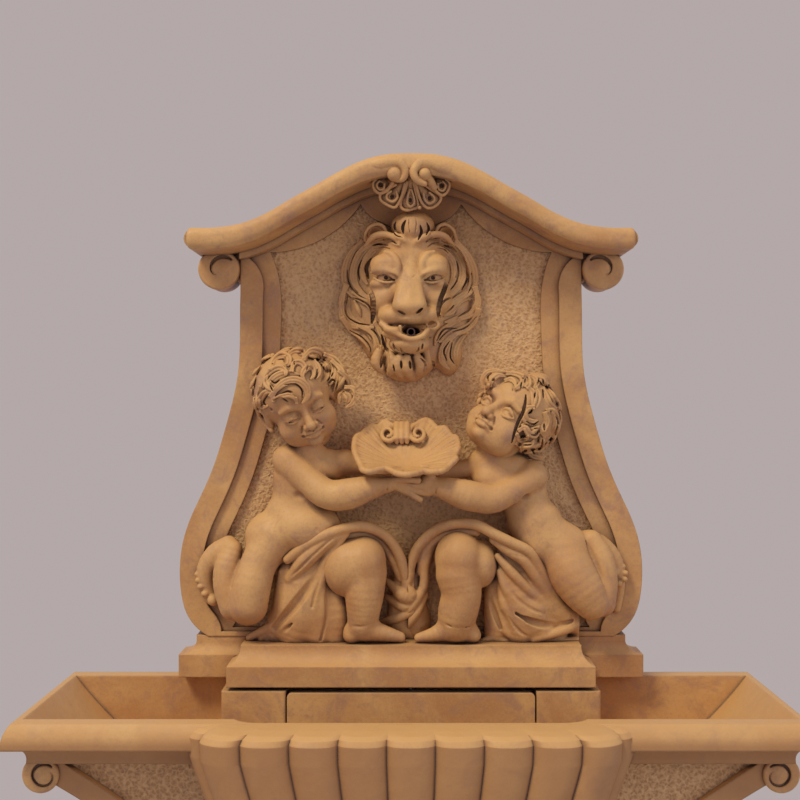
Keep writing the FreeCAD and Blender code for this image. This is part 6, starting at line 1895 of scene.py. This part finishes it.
@dataclass(frozen=True)
class Cornice:
    """The arched cornice's bowed face, laid over the panel's own shelf."""

    line: tuple[tuple[float, float], ...] = (
        (360, 1430), (330, 1430), (295, 1434), (266, 1442), (233, 1457), (196, 1479), (160, 1499),
        (120, 1522), (80, 1541), (40, 1551), (0, 1553))
    half: float = 17.4
    front: float = 48.5
    bow: float = 7.5
    back: float = 209.0
    tip: float = 10.4
    nose: float = 6.0
    middle: float = 110.0
    steps: int = 90

    def build(self, finish: bpy.types.Material) -> None:
        """Sweeps the section along the arch: flat above and below, bowed in front, blunt at both tips.

        The bow follows 1 - |h|^2.6 of the half height h, and the tips shrink by (1 - t^3)^(1/3). Only what is
        in front of the nose's root shrinks in depth.

        Args:
            finish: its material.
        """
        right = flowing(np.array(self.line[::-1], float), self.steps)
        share = np.array([0.3, 0.55, 0.75, 0.88, 0.95, 0.985])
        ends = np.stack([right[-1, 0] + self.tip * share, np.full(len(share), right[-1, 1])], -1)
        size = np.concatenate([np.ones(self.steps), (1 - share ** 3) ** (1 / 3)])
        right = np.vstack([right, ends])
        line = np.vstack([(right * (-1, 1))[:0:-1], right])
        size = np.concatenate([size[:0:-1], size])
        height = np.sin(np.linspace(-0.5 * np.pi, 0.5 * np.pi, 23))
        depth = self.front - self.bow * (1 - np.abs(height) ** 2.6)
        root = self.front + self.nose
        section = np.vstack([[(self.back, -1.0), (self.middle, -1.0), (root, -1.0)],
                             np.stack([depth, height], -1),
                             [(root, 1.0), (self.middle, 1.0), (self.back, 1.0)]])
        points = np.empty((len(line), len(section), 3))
        points[..., 0] = line[:, 0, None]
        blunt = np.where(section[:, 0] < root, size[:, None] ** 0.5, 1.0)
        points[..., 1] = root + (section[:, 0] - self.front - self.nose) * blunt
        points[..., 2] = line[:, 1, None] + section[:, 1] * self.half * size[:, None]
        rows, columns = points.shape[:2]
        faces = [ring_faces(rows, columns)[:, ::-1]]
        k = np.arange(columns // 2 - 1)
        cap = np.stack([k, k + 1, columns - 2 - k, columns - 1 - k], -1)
        faces += [cap, cap[:, ::-1] + (rows - 1) * columns]
        settle(mesh_object("cornice_face", points.reshape(-1, 3), np.vstack(faces)), finish)


PEAK = Drawing(365.0, 148.0, 17.42)

CREST = Carving("crest_carving", "crest_palmette", PEAK, (-74, 30, 1474), (74, 158, 1562), (
    Ball((750, 900, 85), (16, 9, 19), 3), Rod(((765, 600, 94, 6), (755, 750, 90, 8)), 3),
    Rod(((700, 590, 104, 3), (655, 760, 97, 2.6), (590, 930, 92, 2.6), (600, 1040, 90, 2.6),
        (690, 1085, 90, 2.6), (800, 1060, 90, 2.4), (880, 1030, 91, 2.2), (885, 950, 92, 2.0),
        (850, 790, 96, 2.2), (815, 600, 103, 2.6)), 1.2),
    Rod(((745, 720, 99, 1.6), (708, 850, 97, 2.0), (700, 960, 96, 2.2), (755, 1020, 96, 2.2),
        (820, 960, 96, 2.0), (812, 850, 97, 1.8), (775, 720, 99, 1.4)), 1),
    Ball((755, 905, 96), (3.0, 9, 4.4), 1, True), Ball((915, 1040, 96), (3.2, 3.6, 3.2), 1),
    Ball((1085, 880, 85), (19, 9, 17), 3), Rod(((880, 640, 94, 6), (990, 770, 90, 8)), 3),
    Rod(((850, 610, 104, 2.6), (895, 800, 98, 2.4), (960, 960, 94, 2.6), (1060, 1045, 92, 2.6),
         (1190, 1010, 92, 2.6), (1285, 900, 93, 2.4), (1260, 820, 95, 2.2), (1130, 730, 99, 2.6),
         (1010, 640, 104, 2.6)), 1.2),
    Rod(((985, 780, 100, 1.6), (1005, 890, 98, 2.2), (1080, 965, 97, 2.2), (1165, 920, 97, 2.2),
         (1165, 850, 98, 2.0), (1090, 780, 100, 1.8)), 1),
    Ball((1092, 872, 96), (3.6, 9, 4.4), 1, True),
    Ball((1300, 665, 88), (15, 9, 14.5), 3),
    Rod(((1100, 580, 107, 3.2), (1190, 740, 100, 2.8), (1310, 825, 96, 2.6), (1405, 750, 95, 2.4),
         (1440, 620, 96, 2.2), (1370, 540, 98, 2.2)), 1.2),
    Rod(((1230, 620, 100, 1.8), (1250, 720, 99, 2.0), (1330, 740, 98, 2.0), (1370, 650, 98, 1.8),
         (1320, 580, 99, 1.6)), 1),
    Ball((1300, 655, 97), (4.2, 9, 4.2), 1, True),
    Ball((430, 850, 85), (19.5, 9, 16.5), 3), Rod(((600, 640, 94, 6), (510, 770, 90, 8)), 3),
    Rod(((660, 620, 104, 2.6), (610, 820, 98, 2.4), (545, 960, 94, 2.6), (480, 1035, 92, 2.6),
        (350, 990, 92, 2.6), (235, 900, 93, 2.4), (240, 800, 95, 2.2), (350, 720, 99, 2.4),
        (500, 640, 104, 2.6)), 1.2),
    Rod(((510, 760, 100, 1.6), (530, 860, 98, 2.2), (455, 935, 97, 2.2), (360, 900, 97, 2.2),
        (345, 820, 98, 2.0), (420, 755, 100, 1.8)), 1),
    Ball((437, 845, 96), (3.8, 9, 4.4), 1, True),
    Ball((235, 660, 88), (15, 9, 14.5), 3),
    Rod(((450, 600, 107, 3.0), (350, 740, 100, 2.8), (220, 790, 96, 2.6), (125, 710, 95, 2.4),
        (110, 600, 96, 2.2), (180, 530, 98, 2.2)), 1.2),
    Rod(((310, 620, 100, 1.8), (290, 710, 99, 2.0), (210, 720, 98, 2.0), (170, 640, 98, 1.8),
        (220, 570, 99, 1.6)), 1),
    Ball((240, 640, 97), (4.2, 9, 4.2), 1, True),
    Rod(((740, 560, 92, 12), (745, 640, 84, 9)), 3),
    Rod(((20, 340, 110, 15.5), (240, 292, 116, 13.5), (440, 240, 120, 10.8), (575, 262, 122, 9),
        (655, 355, 123, 7.2), (664, 462, 123, 6), (610, 545, 122, 5), (520, 560, 120, 4)), 1.5),
    Ball((478, 455, 120), (12.2, 12, 12.2), 1.5),
    Rod(((1560, 430, 109, 15.5), (1330, 340, 116, 14), (1120, 268, 120, 11.6), (960, 256, 122, 10),
        (862, 320, 123, 8.2), (812, 410, 124, 7.2), (835, 510, 124, 6.4), (900, 580, 122, 5.8),
        (1000, 620, 120, 5)), 1.5),
    Ball((1005, 452, 120), (10.8, 12, 10.8), 1.5),
    Rod(((1040, 470, 115, 7), (1100, 570, 111, 7), (1170, 680, 105, 5.5)), 3),
    Rod(((448, 330, 132, 0.6), (520, 322, 133, 1.1), (590, 372, 134, 1.3), (612, 450, 134, 1.1),
        (590, 520, 133, 0.7)), 0.8, True),
    Rod(((885, 455, 133, 1.0), (905, 395, 134, 1.3), (980, 352, 134, 1.3), (1070, 378, 133, 1.1),
         (1112, 450, 130, 0.9)), 0.8, True),
    Rod(((735, 300, 134, 0.8), (736, 420, 135, 1.2), (736, 540, 133, 2.4)), 0.8, True),
), 0.9, 1474.0, 156.0)

SHOULDER_NECK = ((36, 20, -14, 8.5), (37, 20, 8, 9), (36, 18, 26, 9), (12, 15, 27, 8))

VOLUTES = tuple(
    Volute(f"{name}_{side}", (-hand * x, y, z), radius, hand, proud, turns, neck)
    for name, (x, y, z), radius, proud, turns, neck in (
        ("shoulder_scroll", (331.0, 144.0, 1389.0), 34.0, 8.4, 0.5, SHOULDER_NECK),
        ("apron_scroll", (566.0, -97.0, 591.0), 27.0, 6.4, 0.95, ()),
    )
    for side, hand in (("left", 1.0), ("right", -1.0))
)


class Slot(Enum):
    """The record's material slots."""

    STONE = "cast_stone"
    COPPER = "copper_pipe"
    VINYL = "vinyl"
    BLACK = "black_plastic"
    RUBBER = "rubber"
    STEEL = "steel"
    BRASS = "brass"
    CERAMIC = "ceramic_shaft"
    MAGNET = "magnet"
    SHIM = "shim"


SMALL_PARTS = {
    Slot.COPPER: Plain("dull copper", (0.105, 0.052, 0.034), 0.55, 0.6),
    Slot.VINYL: Plain("clear vinyl", (0.80, 0.84, 0.82), 0.18, clear=0.85),
    Slot.BLACK: Plain("moulded black plastic", (0.025, 0.025, 0.028), 0.42, texture=900.0),
    Slot.RUBBER: Plain("black rubber", (0.032, 0.032, 0.033), 0.72),
    Slot.STEEL: Plain("stainless steel", (0.60, 0.60, 0.61), 0.32, 1.0, texture=1200.0, depth=0.00002),
    Slot.BRASS: Plain("brass", (0.72, 0.50, 0.20), 0.30, 1.0, texture=900.0, depth=0.00002),
    Slot.CERAMIC: Plain("white ceramic", (0.82, 0.81, 0.77), 0.22, texture=300.0, depth=0.00001),
    Slot.MAGNET: Plain("ferrite magnet", (0.060, 0.060, 0.065), 0.50, 0.2),
    Slot.SHIM: Plain("dense rubber pack", (0.070, 0.064, 0.060), 0.78),
}


def main() -> None:
    """Dresses the fountain."""
    logging.basicConfig(level=logging.INFO, format="%(message)s")
    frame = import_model()
    Surroundings().build()
    stone = CastStone("carved cast stone", hollow_reach=0.016, edge_wear_and_painted_light=0.6).build()
    cast = CastStone("plain cast stone", edge_round=0.003, corner_dirt_and_shade_reach=0.005, hollow_reach=0.034).build()
    hammered = {
        "back_panel": CastStone("hammered panel stone", edge_round=0.003, corner_dirt_and_shade_reach=0.005, hammered=True,
                                hollow_reach=0.045).build(),
        "basin": CastStone("hammered trough stone", edge_round=0.005, corner_dirt_and_shade_reach=0.010, hammered=True,
                           hollow_reach=0.012, painted_top_light=0.95, front_shade_share=0.75).build(),
    }
    finishes = {slot.value: plain.build() for slot, plain in SMALL_PARTS.items()}
    finishes[Slot.STONE.value] = cast
    for part in frame["record"]["subparts"]:
        mesh = bpy.data.objects[part["node"]].data
        mesh.materials.clear()
        mesh.materials.append(hammered.get(part["node"], finishes[part["material_slot"]]))
    LionMask().build(stone)
    for carving in (CHILD_LEFT, CHILD_RIGHT, CLOTH_LEFT, CLOTH_RIGHT, CREST):
        carving.build(stone)
    for head in HEADS:
        head.build(stone)
    Dish().build(stone)
    Cornice().build(cast)
    for volute in VOLUTES:
        volute.build(cast)


if __name__ == "__main__":
    main()
